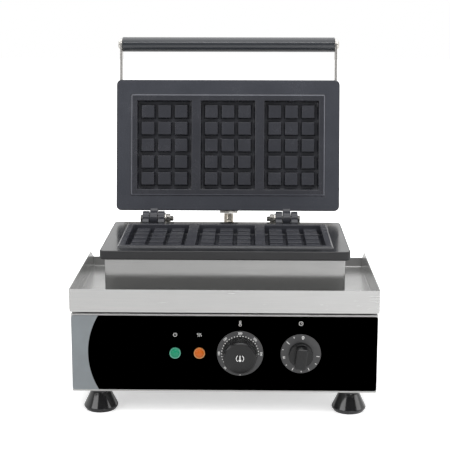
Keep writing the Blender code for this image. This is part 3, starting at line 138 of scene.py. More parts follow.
# Cone feet, from the floor up
FOOT_SOLE_R = 20.5 * MM
FOOT_WIDEST_R = 23.7 * MM
FOOT_WIDEST_LEVEL = 5 * MM
FOOT_NECK_R = 13.8 * MM
FOOT_NECK_LEVEL = 26 * MM
FOOT_TOP_R = 12.4 * MM
FOOT_WELL_R = 8.5 * MM
FOOT_WELL_LEVEL = 22 * MM
FOOT_BORE_R = 3.4 * MM

# Conduit, laid as in the model
COVER_BACK = PLATE_NEAR + 6 * MM
HOSE_GLAND_RISE = 32 * MM
HOSE_R = 7.5 * MM
HOSE_GROOVE = 0.9 * MM
HOSE_PITCH = 4 * MM
HOSE_PLAIN_SHARE = 0.6
GROOVE_EDGE = 0.6
RINGS_PER_PITCH = 10
HOSE_STRAIGHT = 15 * MM
HOSE_BOW = 62.5 * MM
HOSE_BOW_RISE = 50 * MM
HOSE_BOW_LEAN = math.radians(10)
HOSE_LID_PULL = 40 * MM
HOSE_BOW_PULL_UP = 32 * MM
HOSE_BOW_PULL_DOWN = 27 * MM
HOSE_REAR_PULL = 27 * MM
BOW_STEPS = 80
GLAND_H = 9 * MM
GLAND_BORE_R = 5 * MM

# Controls
HEAT = PLACES["temperature_turn"]
TIMER = PLACES["timer_turn"]
HEAT_SKIRT_R = 31 * MM
HEAT_SKIRT_RIM = 1.8 * MM
HEAT_SKIRT_RISE = 3.6 * MM
HEAT_CAP_BASE_R = 23.4 * MM
HEAT_CAP_FRONT_R = 21.7 * MM
HEAT_CAP_HEIGHT = 25 * MM
HEAT_CAP_EDGE = 1.8 * MM
HEAT_CAP_EASE = 1.2 * MM
HEAT_DISH_DEPTH = 1.4 * MM
TIMER_SKIRT_R = 27 * MM
TIMER_SKIRT_RIM = 1.8 * MM
TIMER_SKIRT_RISE = 3 * MM
TIMER_BOSS_R = 16.2 * MM
TIMER_BOSS_H = 12.5 * MM
TIMER_GRIP_WIDTH = 14.5 * MM
TIMER_GRIP_LENGTH = 28.2 * MM
TIMER_GRIP_H = 28 * MM
TIMER_GRIP_CORNER = 3 * MM
TIMER_GRIP_EDGE = 1.4 * MM
TIMER_GRIP_EASE = 0.95 * MM
TIMER_TURN = math.radians(7)
SHAFT_BORE_R = 3 * MM + SEAT_GAP
SHAFT_END = 14.3 * MM
FLUTES = 60
FLUTE_DEPTH = 0.5 * MM

# Print: ink, and the scale's angles in degrees, clockwise from the top
PRINT_LIFT = 0.05 * MM
PRINT_THICK = 0.08 * MM
INK_SPREAD = 0.012
SCALE_START = 225
NUMBER_STEP = 45
DOT_STEP = 9
SIGN_SIZE = 2.4 * MM
LAMP_SIGN_LEVEL = 116.8 * MM
DIAL_SIGN_LEVEL = 133.2 * MM

# Pilot lamps
LENS_R = 7.45 * MM
LENS_SIDE = 4.2 * MM
LENS_DOME = 2.4 * MM
LENS_STEP = 0.3 * MM
LENS_BOWL_SHARE = 0.74
LENS_STEM_R = 4.7 * MM
LENS_GLOW_RISE = 0.9 * MM

# Printed field of the front film
FIELD_X = -80 * MM
FIELD_LEVEL = 90.6 * MM
FIELD_R = 102 * MM

# Mending and shading meshes, with edges' angles in degrees
MERGE = 0.002 * MM
FLAT_ANGLE = math.radians(0.5)
SMOOTH_ANGLE = 40
FOLD_ANGLE = 50
EASED_ANGLE = 89
SHEET_EASE = 0.3 * MM

# Arcs: the most of a side that one takes, and half a corner that counts as straight
ARC_SHARE = 0.48
STRAIGHT = math.radians(88)

# Most of a noise's values lie between these
NOISE_SPAN = (0.3, 0.7)


def linear(code):
    """An sRGB hex colour as linear red, green and blue, with an alpha of 1."""
    values = np.array([int(code[i:i + 2], 16) for i in (0, 2, 4)]) / 255
    bent = np.where(values <= 0.04045, values / 12.92, ((values + 0.055) / 1.055) ** 2.4)
    return (*bent.tolist(), 1.0)


def join(tree, node, inputs):
    """Fill a node's inputs with numbers or hex colours, or link nodes or sockets: a dict
    goes by the inputs' names, a tuple by the order of the inputs in use."""
    used = [s for s in node.inputs if s.enabled]
    if isinstance(inputs, dict):
        used = [next(s for s in used if s.name == name) for name in inputs]
        inputs = inputs.values()
    for socket, value in zip(used, inputs):
        if isinstance(value, bpy.types.Node):
            value = next(s for s in value.outputs if s.enabled)
        if isinstance(value, bpy.types.NodeSocket):
            tree.links.new(value, socket)
        else:
            socket.default_value = linear(value) if isinstance(value, str) else value


def add(tree, kind, inputs=(), **settings):
    """A shader node with its settings and links."""
    node = tree.nodes.new("ShaderNode" + kind)
    for name, value in settings.items():
        setattr(node, name, value)
    join(tree, node, inputs)
    return node


def laid(tree, size, stretch=(1, 1, 1)):
    """Object coordinates counted in a pattern's real size along X, Y and Z."""
    scale = [1 / (size * share) for share in stretch]
    return add(tree, "Mapping", {"Vector": add(tree, "TexCoord").outputs["Object"],
                                 "Scale": scale})


def from_point(tree, x, z):
    """A place counted from a point in X and Z, and how far it is from there."""
    flat = add(tree, "Mapping", {"Vector": add(tree, "TexCoord").outputs["Object"],
                                 "Scale": (1, 0, 1), "Location": (-x, 0, -z)})
    return flat, add(tree, "VectorMath", (flat,), operation='LENGTH')


def material(name, code, roughness, **constants):
    """A material with a base colour, a roughness and other constants on its own sockets."""
    made = bpy.data.materials.new(name)
    made.use_nodes = True
    shader = made.node_tree.nodes["Principled BSDF"]
    join(made.node_tree, shader, {"Base Color": code, "Roughness": roughness,
                                  **{k.replace("_", " "): v for k, v in constants.items()}})
    return made, made.node_tree, shader


def brushed_steel(name, code, deep, low, high, metal=1.0):
    """Cold-rolled 304 sheet with a drawn grain: fine long scratches that spread highlights
    across the grain. The real grain is 0.05 mm wide; it is drawn at 0.6 mm, to show. Less
    than full metal stands for the light that the scratches scatter."""
    made, tree, shader = material(name, code, low, Metallic=metal)
    grain = add(tree, "TexNoise", (laid(tree, 42 * MM, (1, 1, 0.014)), 1.0, 4.0, 0.6))
    cloud = add(tree, "TexNoise", (laid(tree, 60 * MM), 1.0))
    blend = add(tree, "Mix", (0.35, grain, cloud))
    sheen = add(tree, "MapRange", (blend, *NOISE_SPAN, low, high))
    lines = add(tree, "MapRange", (grain, *NOISE_SPAN))
    tone = add(tree, "Mix", (lines, code, deep), data_type='RGBA')
    bump = add(tree, "Bump", {"Height": grain, "Distance": 0.0015 * MM})
    join(tree, shader, {"Base Color": tone, "Roughness": sheen, "Normal": bump})
    return made


def clouded(name, codes, size, low, high):
    """Worked metal whose colour goes between two tones and whose roughness drifts, in blots
    of a real size: zinc-bright turned fasteners, galvanised strip, or blacked bolts."""
    made, tree, shader = material(name, codes[0], low, Metallic=1.0)
    blots = add(tree, "TexNoise", (laid(tree, size), 1.0, 4.0))
    share = add(tree, "MapRange", (blots, *NOISE_SPAN))
    tone = add(tree, "Mix", (share, *codes), data_type='RGBA')
    sheen = add(tree, "MapRange", (blots, *NOISE_SPAN, low, high))
    join(tree, shader, {"Base Color": tone, "Roughness": sheen})
    return made


def coated_casting(name, deep, pale, speck, low, high, shine=0.5):
    """Sand-cast iron under a grey-black non-stick coat: a soft sheen over a fine grain.
    The sand's grain is 0.3 mm; it is drawn at 0.8 mm, so that it shows."""
    made, tree, shader = material(name, deep, low, Specular_IOR_Level=shine)
    sand = add(tree, "TexNoise", (laid(tree, 0.8 * MM), 1.0, 3.0))
    cloud = add(tree, "TexNoise", (laid(tree, 45 * MM), 1.0, 3.0))
    tone = add(tree, "Mix", (cloud, deep, pale), data_type='RGBA')
    grains = add(tree, "MapRange", (sand, 0.5, 0.75, 0.0, 0.5))
    speckled = add(tree, "Mix", (grains, tone, speck), data_type='RGBA')
    blend = add(tree, "Mix", (0.4, cloud, sand))
    sheen = add(tree, "MapRange", (blend, *NOISE_SPAN, low, high))
    bump = add(tree, "Bump", {"Height": sand, "Distance": 0.012 * MM, "Strength": 0.6})
    join(tree, shader, {"Base Color": speckled, "Roughness": sheen, "Normal": bump})
    return made


def moulded(name, code, roughness, grain, depth, **constants):
    """A moulded plastic with a fine spark-eroded texture: its sheen breaks up a little."""
    made, tree, shader = material(name, code, roughness, **constants)
    fine = add(tree, "TexNoise", (laid(tree, grain), 1.0))
    cloud = add(tree, "TexNoise", (laid(tree, 30 * MM), 1.0))
    blend = add(tree, "Mix", (0.5, fine, cloud))
    sheen = add(tree, "MapRange", (blend, *NOISE_SPAN, roughness * 0.85, roughness * 1.2))
    bump = add(tree, "Bump", {"Height": fine, "Distance": depth, "Strength": 0.5})
    join(tree, shader, {"Roughness": sheen, "Normal": bump})
    return made


def front_film():
    """Screen-printed polyester film: deep black, with a grey field at its left that ends
    in an arc. The arc is part of a circle about a point of the film."""
    made, tree, shader = material("printed_film", "000000", 0.25, Specular_IOR_Level=0.0)
    flat, reach = from_point(tree, FIELD_X, FIELD_LEVEL)
    outside = add(tree, "MapRange", (reach, FIELD_R - PRINT_THICK, FIELD_R + PRINT_THICK))
    left = add(tree, "Math", (add(tree, "SeparateXYZ", (flat,)), 0.0), operation='LESS_THAN')
    grey = add(tree, "Math", (outside, left), operation='MULTIPLY')
    cloud = add(tree, "TexNoise", (laid(tree, 20 * MM), 1.0))
    field = add(tree, "Mix", (cloud, "7C8083", "848A8D"), data_type='RGBA')
    tone = add(tree, "Mix", (grey, "000000", field), data_type='RGBA')
    join(tree, shader, {"Base Color": tone})
    return made


def tinted_lens(name, centre, core, ring, edge):
    """Tinted acrylic lens: a deep colour in the middle, a pale ring painted where light would
    gather, and a darker edge, by the distance from a place a little over the lens's middle,
    since light from above gathers low in the lens. The ring is painted light, and the colours
    also glow faintly, a painted glow."""
    made, tree, shader = material(name, core, 0.1, Specular_IOR_Level=0.35)
    _, reach = from_point(tree, centre[0], centre[2] + LENS_GLOW_RISE)
    share = add(tree, "MapRange", (reach, 0.0, LENS_R + LENS_GLOW_RISE))
    node = add(tree, "ValToRGB", (share,))
    stops = ((0.0, core), (0.66, core), (0.84, ring), (0.91, ring), (0.98, edge))
    elements = node.color_ramp.elements
    while len(elements) < len(stops):
        elements.new(0.5)
    for element, (position, code) in zip(elements, stops):
        element.position = position
        element.color = linear(code)
    # The lens's colours also glow faintly: a painted glow
    join(tree, shader, {"Base Color": node, "Emission Color": node, "Emission Strength": 0.06})
    return made


# Housing: bright 304 sheet, ground along its length, so highlights smear up and down
STEEL = brushed_steel("brushed_304_steel", "B6B6B5", "AEAEAD", 0.28, 0.38, 0.84)
# Drip tray: the same sheet with its mill's shine, so that walls show faintly in its floor
TRAY_STEEL = brushed_steel("mill_bright_304_steel", "BCBCBB", "B5B5B4", 0.2, 0.28, 0.7)
# Heater box: sheet dulled by heat, and smooth enough to mirror the tray
BOX_STEEL = brushed_steel("heat_dulled_304_steel", "A2A2A1", "989897", 0.12, 0.24, 0.76)
# Lid's cover and arms: brushed sheet with a faintly warm cast from the iron's heat
COVER_STEEL = brushed_steel("brushed_304_cover", "C6C3BF", "BBB8B4", 0.2, 0.34, 0.92)
# Fasteners: electroplated zinc, which leaves turned parts mirror-like in blots
BRIGHT = clouded("bright_zinc_steel", ("DAD7D1", "C9C6C0"), 5 * MM, 0.12, 0.28)
# Flexible conduit: galvanised strip, spangled and soiled where it was handled
STRIP = clouded("galvanised_strip", ("CEC9BE", "9A9185"), 7 * MM, 0.18, 0.4)
# Hinge bolts: black oxide that wear has rubbed to grey steel in places
BLACKED = clouded("worn_black_oxide_steel", ("4E4E4D", "7B7974"), 3 * MM, 0.22, 0.4)
# Both plates and their lugs: sprayed coat over a sand casting, a soft sheen with sparks
CASTING = coated_casting("non_stick_coated_casting", "2D2E33", "36373D", "44454D", 0.18, 0.32)
# Upper plate's flange: a paler copy of the coat, lighter than the plate's face
FLANGE_COAT = coated_casting("paler_flange_coat", "36383E", "404249", "4E5059", 0.18, 0.3)
# Lower plate's flange and plateau edges: wiped so often that the coat is slick, and mirrors the
# lid over it; its much darker colour is painted shade against the top light on these upward
# faces
SHADED_SLICK_COAT = coated_casting("shaded_slick_coat", "121315", "18191B", "222327", 0.12, 0.22, 0.75)
# Lower plate's sides: a darker, duller copy of the coat; the darkness is painted shade that
# holds down the light on these faces
SHADED_SIDE_COAT = coated_casting("shaded_dull_side_coat", "19191B", "1F1F21", "2C2C2F", 0.4, 0.55)
# Upper plate's plateau edges: a paler copy of the coat, a painted highlight along the rounded
# edges
EDGE_HIGHLIGHT_COAT = coated_casting("painted_edge_highlight_coat", "5C5E66", "6A6C74", "7C7E87", 0.16, 0.26)
# Handle's sleeve: satin phenolic that a hand has polished, so its highlight is a thin line
BAR_PLASTIC = moulded("satin_phenolic_sleeve", "2A2D32", 0.22, 1.2 * MM, 0.008 * MM,
                     Specular_IOR_Level=0.7)
# Dials' skirts: satin thermoset that the moulding left a little pale
SKIRT_PLASTIC = moulded("satin_thermoset", "3A3A3B", 0.4, 0.9 * MM, 0.012 * MM)
# Dials' cap and grip: the same thermoset from a polished mould, darker for its gloss
CAP_PLASTIC = moulded("dark_thermoset", "0E0E0F", 0.24, 0.9 * MM, 0.01 * MM,
                     Specular_IOR_Level=0.4)
# Feet: glossy nylon, dark enough that only the studio's lamps draw its shape
FOOT_PLASTIC = moulded("gloss_moulded_nylon", "09090C", 0.15, 2.5 * MM, 0.004 * MM,
                       Specular_IOR_Level=0.75)
# Gland, lamp holders and timer case: matt black nylon straight from the mould
BLACK_NYLON = moulded("black_nylon", "1C1C1E", 0.45, 1 * MM, 0.01 * MM)
# Bushes and blocks near the heat: pressed, fired and left without a glaze, so chalky
CERAMIC = moulded("unglazed_steatite", "DDD6C8", 0.7, 0.8 * MM, 0.02 * MM)
# Thermal blocks: mineral wool, felted, so its surface is all fibre and no sheen
WOOL = moulded("pressed_mineral_wool", "CDBF9C", 0.95, 1.5 * MM, 0.4 * MM)
# Heating elements: alloy sheath that the first firing turned straw and grey
SHEATH = brushed_steel("heat_tinted_sheath", "5F5A52", "57524B", 0.35, 0.55)
# Front film: printed from behind, so its black and grey are even and its face is matt
FILM = front_film()
# Print on the dials and the film: opaque white ink, too thin to have a shape of its own
INK = moulded("white_screen_ink", "E8E8E6", 0.5, 1 * MM, 0.004 * MM)


def unit(vector):
    return vector / np.linalg.norm(vector)


def as_points(*coordinates):
    """Points from their coordinates, each an array or one number for all."""
    return np.stack(np.broadcast_arrays(*coordinates), -1)


def rounded(corners, radii, steps=4):
    """A polyline with its inner corners as arcs: each arc touches both sides at the
    distance radius over the tangent of half the corner's angle, within a share of them."""
    corners = np.array(corners, float)
    out = [corners[:1]]
    radii = np.broadcast_to(radii, len(corners) - 2)
    for before, here, after, radius in zip(corners, corners[1:], corners[2:], radii):
        back, on = unit(before - here), unit(after - here)
        half = math.acos(np.clip(back @ on, -1, 1)) / 2
        if radius == 0 or half > STRAIGHT:
            out.append(here[None])
            continue
        reach = min(radius / math.tan(half), ARC_SHARE * np.linalg.norm(before - here),
                    ARC_SHARE * np.linalg.norm(after - here))
        radius = reach * math.tan(half)
        centre = here + unit(back + on) * radius / math.sin(half)
        start, end = here + back * reach - centre, here + on * reach - centre
        sweep = math.pi - 2 * half
        share = np.linspace(0, 1, steps + 1)[:, None]
        out.append(centre + (start * np.sin((1 - share) * sweep)
                             + end * np.sin(share * sweep)) / math.sin(sweep))
    return np.concatenate([*out, corners[-1:]])


def grid_shape(rows, caps=False, wrap_rows=False, wrap_columns=True):
    """Rows of as many points each as a shape: points and quads, closed round the rows or
    columns if asked; caps close its first and last row."""
    points = np.array(rows)
    index = np.arange(points.size // 3).reshape(points.shape[:2])
    top, low = (index, np.roll(index, -1, 0)) if wrap_rows else (index[:-1], index[1:])
    quads = np.stack([top, np.roll(top, -1, 1), np.roll(low, -1, 1), low], -1)
    if not wrap_columns:
        quads = quads[:, :-1]
    faces = quads.reshape(-1, 4).tolist()
    if caps:
        faces += [index[0].tolist(), index[-1][::-1].tolist()]
    return points.reshape(-1, 3), faces


def together(*shapes):
    """Several shapes as one list of points and faces."""
    points, faces, start = [], [], 0
    for own_points, own_faces in shapes:
        points.append(own_points)
        faces += [[i + start for i in face] for face in own_faces]
        start += len(own_points)
    return np.concatenate(points), faces


def basis(axis):
    """Two directions square to an axis, and the axis."""
    axis = unit(np.array(axis, float))
    side = unit(np.cross((0, 1, 0) if abs(axis[2]) > 0.9 else (0, 0, 1), axis))
    return side, np.cross(axis, side), axis


def turned(profile, centre, axis, steps=64, flats=None, dips=None, flutes=0):
    """A turned shape: each profile point, a radius and a height, goes round the axis. With
    flats, the radius at an angle is held under a six-sided bar of that width. With flutes,
    a point's radius falls by its dip and rises again, that many times round."""
    side, up, axis = basis(axis)
    angle = np.linspace(0, 2 * math.pi, steps, endpoint=False)
    profile = np.array(profile)
    radius = np.repeat(profile[:, :1], steps, 1)
    if dips is not None:
        radius = radius - dips[:, None] * (0.5 - 0.5 * np.cos(flutes * angle))
    if flats is not None:
        sixth = math.pi / 3
        radius = np.minimum(radius, flats / 2 / np.cos((angle + sixth / 2) % sixth - sixth / 2))
    spokes = np.cos(angle)[:, None] * side + np.sin(angle)[:, None] * up
    return grid_shape(np.array(centre) + radius[..., None] * spokes
                      + profile[:, 1, None, None] * axis)


def prism(outline, x_low, x_high):
    """A flat outline of Y and Z, thick from x_low to x_high."""
    y, z = np.array(outline).T
    return grid_shape([as_points(x, y, z) for x in (x_low, x_high)], caps=True)


def extent(node):
    """A model node's low and high corners, and its middle."""
    low, high = (np.array(corner, float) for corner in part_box(node))
    return low, high, (low + high) / 2


def in_scene(name, data):
    """A new object in the scene."""
    obj = bpy.data.objects.new(name, data)
    bpy.context.scene.collection.objects.link(obj)
    return obj


def mended(mesh, level=False):
    """Merge a mesh's doubles. Then join up its level faces, or face it outwards."""
    work = bmesh.new()
    work.from_mesh(mesh)
    bmesh.ops.remove_doubles(work, verts=work.verts, dist=MERGE)
    if level:
        bmesh.ops.dissolve_limit(work, angle_limit=FLAT_ANGLE, verts=work.verts,
                                 edges=work.edges)
    else:
        bmesh.ops.dissolve_degenerate(work, edges=work.edges, dist=MERGE)
        bmesh.ops.recalc_face_normals(work, faces=work.faces)
    work.to_mesh(mesh)
    work.free()


def piece(name, shape, look, body, nodes=(), sharp=SMOOTH_ANGLE, bevel=None,
          tones=None):
    """A finished piece: merged, facing outwards, smooth up to its sharp edges, riding on
    its body and standing for its nodes. With tones, each face takes one of several looks."""
    mesh = bpy.data.meshes.new(name)
    points, faces = shape
    mesh.from_pydata(points.tolist(), [], faces)
    if tones is not None:
        mesh.polygons.foreach_set("material_index", tones)
    mended(mesh)
    return settled(mesh, look, body, nodes, sharp, bevel)


def settled(mesh, look, body, nodes, sharp, bevel):
    """A mesh as a piece in the scene: its looks, eased edges, shading and body, and the model
    nodes it hides.
    """
    obj = in_scene(mesh.name, mesh)
    for finish in look if isinstance(look, tuple) else (look,):
        mesh.materials.append(finish)
    if bevel:
        easing = obj.modifiers.new("eased_edges", 'BEVEL')
        easing.width = bevel
        easing.segments = 3
        easing.limit_method = 'ANGLE'
        easing.angle_limit = math.radians(sharp)
    mesh.shade_smooth()
    mesh.set_sharp_from_angle(angle=math.radians(EASED_ANGLE if bevel else sharp))
    flat = obj.modifiers.new("flat_faces", 'WEIGHTED_NORMAL')
    flat.keep_sharp = True
    if body:
        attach(obj, body)
    if nodes:
        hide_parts(*nodes)
    return obj


def eased(look, body, *nodes):
    """Folded sheets, each as one welded skin of its node's own shape: flat faces joined up,
    bends smooth and cut edges eased."""
    for node in nodes:
        mesh = NODES[node].data.copy()
        mesh.name = node + "_sheet"
        mended(mesh, level=True)
        if mesh.attributes.get("custom_normal"):
            mesh.attributes.remove(mesh.attributes["custom_normal"])
        mesh.materials.clear()
        settled(mesh, look, body, (node,), FOLD_ANGLE, SHEET_EASE)


def wall_profile(depth, lip, foot):
    """Distance out from an edge and depth under it: a rounded lip that starts at the level
    face, a drafted wall, and a fillet into the floor."""
    turn = np.radians([0, 25, 50, 72, 86])
    top = as_points(lip * (np.sin(turn) - 1), lip * (1 - np.cos(turn)))
    turn = np.radians([0, 30, 60, 90])
    low = as_points(DRAFT * (depth - foot) / depth + foot * (1 - np.cos(turn)),
                    depth - foot + foot * np.sin(turn))
    return np.concatenate([top, low])


CAVITY_WALL = wall_profile(CAVITY_DEPTH, 0.8 * MM, 1.2 * MM)
PEG_WALL = wall_profile(CAVITY_DEPTH - PEG_DROP, 0.6 * MM, 1 * MM)
SUPPORT = 0.35 * MM
CAST_TONE, FLANGE_TONE, EDGE_TONE, SIDE_TONE = range(4)
MIDDLE_V = PLATE_FAR - CAVITY_FRONT - CAVITY_LENGTH / 2
PLATEAU_HALF = CAVITY_STEP + CAVITY_WIDTH / 2 + PLATEAU_MARGIN
PLATEAU_V = CAVITY_LENGTH / 2 + PLATEAU_MARGIN


def middles(count, step):
    return (np.arange(count) - (count - 1) / 2) * step


def across_face(cavities, pegs, half_cavity, edge):
    """Grid lines across a plate's face, and at each how deep the cavity walls allow and how
    far a peg's side has fallen. Lines lie at each wall's and peg's edge plus its profile's
    offsets, just outside each edge, and at the face's two ends."""
    wall, peg = (np.append(p[:, 0], p[0, 0] - SUPPORT) for p in (CAVITY_WALL, PEG_WALL))
    lines = [np.array([-edge, edge])]
    for way in (-1, 1):
        lines.append((cavities[:, None] + way * (half_cavity - wall)).ravel())
        lines.append((pegs[:, None] + way * (PEG / 2 + peg)).ravel())
    lines = np.unique(np.round(np.concatenate(lines), 7))
    inside = half_cavity - np.abs(lines[:, None] - cavities)
    outside = np.abs(lines[:, None] - pegs) - PEG / 2
    allowed = np.interp(inside, *CAVITY_WALL.T).max(1)
    return lines, allowed, np.interp(outside, *PEG_WALL.T).min(1)


def plate_loop(half_x, near, far, radius, depth, share_x, share_v):
    """Points round a rectangle with round corners, with the same shares on each straight
    side at every loop, so that loops join up."""
    left, right, low, high = radius - half_x, half_x - radius, near + radius, far - radius
    x = (share_x * 2 - 1) * right
    v = low + share_v * (far - near - 2 * radius)
    corner = np.radians([18, 36, 54, 72])
    sine, cosine = radius * np.sin(corner), radius * np.cos(corner)
    sides = ((x, near), (right + sine, low - cosine), (half_x, v),
             (right + cosine, high + sine), (x[::-1], far), (left - sine, high + cosine),
             (-half_x, v[::-1]), (left - cosine, low - sine))
    return np.concatenate([as_points(*side, depth) for side in sides])


def arc(radius, steps, end=90):
    """Sine and one-minus-cosine of an arc, times its radius."""
    turn = np.radians(np.linspace(0, end, steps + 1))
    return as_points(radius * np.sin(turn), radius * (1 - np.cos(turn)))


def plate_shape():
    """A cast plate in X, distance from the axis, and depth from its face. Its face is a
    field over a grid: the depth is the less of what the cavity walls allow and of where
    the pegs' sides have fallen to. Loops carry its edges from the face round to the back.
    Tones number its faces' looks."""
    cavities = middles(CAVITIES, CAVITY_STEP)
    pegs = (cavities[:, None] + middles(PEGS_ACROSS, PEG_STEP_X)).ravel()
    inset = PLATEAU_ROUND + SUPPORT
    x, allowed_x, fallen_x = across_face(cavities, pegs, CAVITY_WIDTH / 2,
                                         PLATEAU_HALF - inset)
    v, allowed_v, fallen_v = across_face(np.zeros(1), middles(PEGS_ALONG, PEG_STEP_V),
                                         CAVITY_LENGTH / 2, PLATEAU_V - inset)
    allowed = np.minimum(allowed_x[:, None], allowed_v)
    depth = np.minimum(allowed, PEG_DROP + np.maximum(fallen_x[:, None], fallen_v))
    face = grid_shape(as_points(x[:, None], v + MIDDLE_V, depth), wrap_columns=False)
    shares = [(lines - lines[0]) / (lines[-1] - lines[0]) for lines in (x, v)]
    rings = [(inset, 0.0, 0.0),
             *((PLATEAU_ROUND - a, b, PLATEAU_CORNER / 2) for a, b in arc(PLATEAU_ROUND, 4, 80)),
             *((-PLATEAU_ROUND / 2 - b, FLANGE_DEPTH - PLATEAU_ROUND + a, PLATEAU_CORNER)
               for a, b in arc(PLATEAU_ROUND, 3)),
             (-PLATEAU_ROUND * 2, FLANGE_DEPTH, PLATEAU_CORNER)]
    edge = [(PLATE_EDGE_ROUND + SUPPORT, FLANGE_DEPTH),
            *((PLATE_EDGE_ROUND - a, FLANGE_DEPTH + b) for a, b in arc(PLATE_EDGE_ROUND, 5)),
            (0, FLANGE_DEPTH + PLATE_EDGE_ROUND + SUPPORT),
            (0, BACK_DEPTH - PLATE_FOOT_ROUND - SUPPORT),
            *((b, BACK_DEPTH - PLATE_FOOT_ROUND + a) for a, b in arc(PLATE_FOOT_ROUND, 5)),
            (CORE_INSET, BACK_DEPTH), (CORE_INSET + DRAFT / 2, CORE_DEPTH)]
    loops = [plate_loop(PLATEAU_HALF - i, MIDDLE_V - PLATEAU_V + i, MIDDLE_V + PLATEAU_V - i,
                        r, d, *shares) for i, d, r in rings]
    loops += [plate_loop(PLATE_HALF - i, PLATE_NEAR + i, PLATE_FAR - i,
                         max(PLATE_CORNER - i, DRAFT), d, *shares) for i, d in edge]
    points, faces = grid_shape(loops)
    faces.append(list(range(len(points) - len(loops[-1]), len(points))))
    tone = np.full(len(loops) - 1, CAST_TONE)
    tone[1:6] = EDGE_TONE
    tone[len(rings) - 1:len(rings) + 1] = FLANGE_TONE
    tone[len(rings) + 1:] = SIDE_TONE
    tones = [CAST_TONE] * len(face[1]) + np.repeat(tone, len(loops[-1])).tolist() + [CAST_TONE]
    return together(face, (points, faces)), tones


def on_plate(shape, upper):
    """X, distance and depth as a place: the lower plate looks up, the upper one stands
    open, turned back about the hinge axis."""
    points, faces = shape
    x, v, depth = points.T
    if upper:
        return opened(as_points(x, -v, HALF_PARTING + depth)), faces
    return as_points(x, AXIS[1] - v, AXIS[2] - HALF_PARTING - depth), faces


def opened(points):
    """Points of the closed lid, about the hinge axis, as places of the open lid."""
    x, y, z = np.array(points, float).T
    return as_points(x, AXIS[1] + OPEN_COS * y + OPEN_SIN * z,
                     AXIS[2] - OPEN_SIN * y + OPEN_COS * z)


def lug_outline(upper):
    """A hinge lug about the axis, in Y and Z: a round eye and a web into its plate."""
    sign = 1 if upper else -1
    root = -PLATE_NEAR - LUG_BITE
    angle = np.radians(175) - np.radians(265) * np.linspace(0, 1, 31)
    eye = as_points(LUG_R * np.cos(angle), -sign * LUG_R * np.sin(angle))
    return np.concatenate([[(root, sign * (FLANGE_DEPTH + LUG_DROP))], eye,
                           [(root, sign * (BACK_DEPTH - LUG_DROP))]])


def heel_outline():
    """The tongue's stop, which bears on the lower plate's back edge when the lid is open."""
    y = np.array([1, 0, 0, 1]) * (SEAT_GAP - PLATE_NEAR)
    z = np.repeat([-HEEL_TOP_DROP, -HEEL_BOTTOM_DROP], 2)
    return as_points(OPEN_COS * y - OPEN_SIN * z, OPEN_SIN * y + OPEN_COS * z)


def make_plates():
    """Both castings, and the lugs of their hinges."""
    plate, tones = plate_shape()
    # The lower plate's flange, edges and sides take darker copies of the coat, painted shade;
    # the upper plate's plateau edges take a paler one, a painted highlight.
    for word, body, looks in (("lower", "base", (CASTING, SHADED_SLICK_COAT, SHADED_SLICK_COAT, SHADED_SIDE_COAT)),
                              ("upper", "lid", (CASTING, FLANGE_COAT, EDGE_HIGHLIGHT_COAT, CASTING))):
        piece(word + "_plate_casting", on_plate(plate, word == "upper"), looks, body,
              [word + "_grill_plate"], sharp=60, tones=tones)
    near = TONGUE_WIDTH / 2 + LUG_PLAY
    points, faces = together(*(prism(lug_outline(False), x + low, x + low + LUG_WIDTH)
                               for x in HINGES.values() for low in (near, -near - LUG_WIDTH)))
    piece("lower_plate_lugs", (points + AXIS, faces), CASTING, "base",
          bevel=LUG_EASE)
    points, faces = together(*(prism(outline, x - TONGUE_WIDTH / 2, x + TONGUE_WIDTH / 2)
                               for x in HINGES.values()
                               for outline in (lug_outline(True), heel_outline())))
    piece("upper_plate_lugs", (opened(points), faces), CASTING, "lid",
          bevel=LUG_EASE)


def make_hinge_bolts():
    """A round-headed bolt with a threaded tail, a washer and a nut per hinge."""
    half = TONGUE_WIDTH / 2 + LUG_PLAY + LUG_WIDTH
    bore = BOLT_R + SEAT_GAP
    outer = -half - SEAT_GAP
    low = half + SEAT_GAP
    seat = low + WASHER_H + SEAT_GAP
    end = seat + NUT_H + BOLT_TAIL
    head = rounded([(0, outer - BOLT_HEAD_H), (BOLT_HEAD_R, outer - BOLT_HEAD_H),
                    (BOLT_HEAD_R, outer), (BOLT_R, outer), (BOLT_R, seat)],
                   [1.2 * MM, 0.3 * MM, 0])
    turns = np.arange(seat, end - 0.5 * MM, THREAD_PITCH / 4)
    wave = BOLT_R - THREAD_DEPTH * (0.5 - 0.5 * np.cos(turns / THREAD_PITCH * 2 * math.pi))
    bolt = np.concatenate([head, as_points(wave, turns), [(BOLT_R * 0.8, end), (0, end)]])
    ring = rounded([(bore, low), (WASHER_R, low), (WASHER_R, low + WASHER_H),
                    (bore, low + WASHER_H), (bore, low)], 0.25 * MM, 2)
    nut = nut_profile(bore, seat, seat + NUT_H)
    for side, x in HINGES.items():
        centre = AXIS + (x, 0, 0)
        axis = (1 if x < 0 else -1, 0, 0)
        for kind, shape, look, sharp in (
                ("bolt", turned(bolt, centre, axis, 32), BLACKED, SMOOTH_ANGLE),
                ("washer", turned(ring, centre, axis, 48), BRIGHT, SMOOTH_ANGLE),
                ("nut", turned(nut, centre, axis, 72, NUT_FLATS), BRIGHT, 25)):
            piece(f"{kind}_of_hinge_{side}", shape, look, "base",
                  [f"hinge_{kind}_{side}"], sharp=sharp)


def nut_profile(bore, low, high):
    """A nut's turned limit: full across its corners in the middle, chamfered at both ends."""
    corner = NUT_FLATS / math.sqrt(3)
    face = NUT_FLATS / 2 * 0.97
    ease = (corner - NUT_FLATS / 2) * 0.8
    lead = 0.4 * MM
    return [(bore, low), (face, low), (corner, low + ease), (corner, high - ease),
            (face, high), (bore + lead, high), (bore, high - lead), (bore, low)]


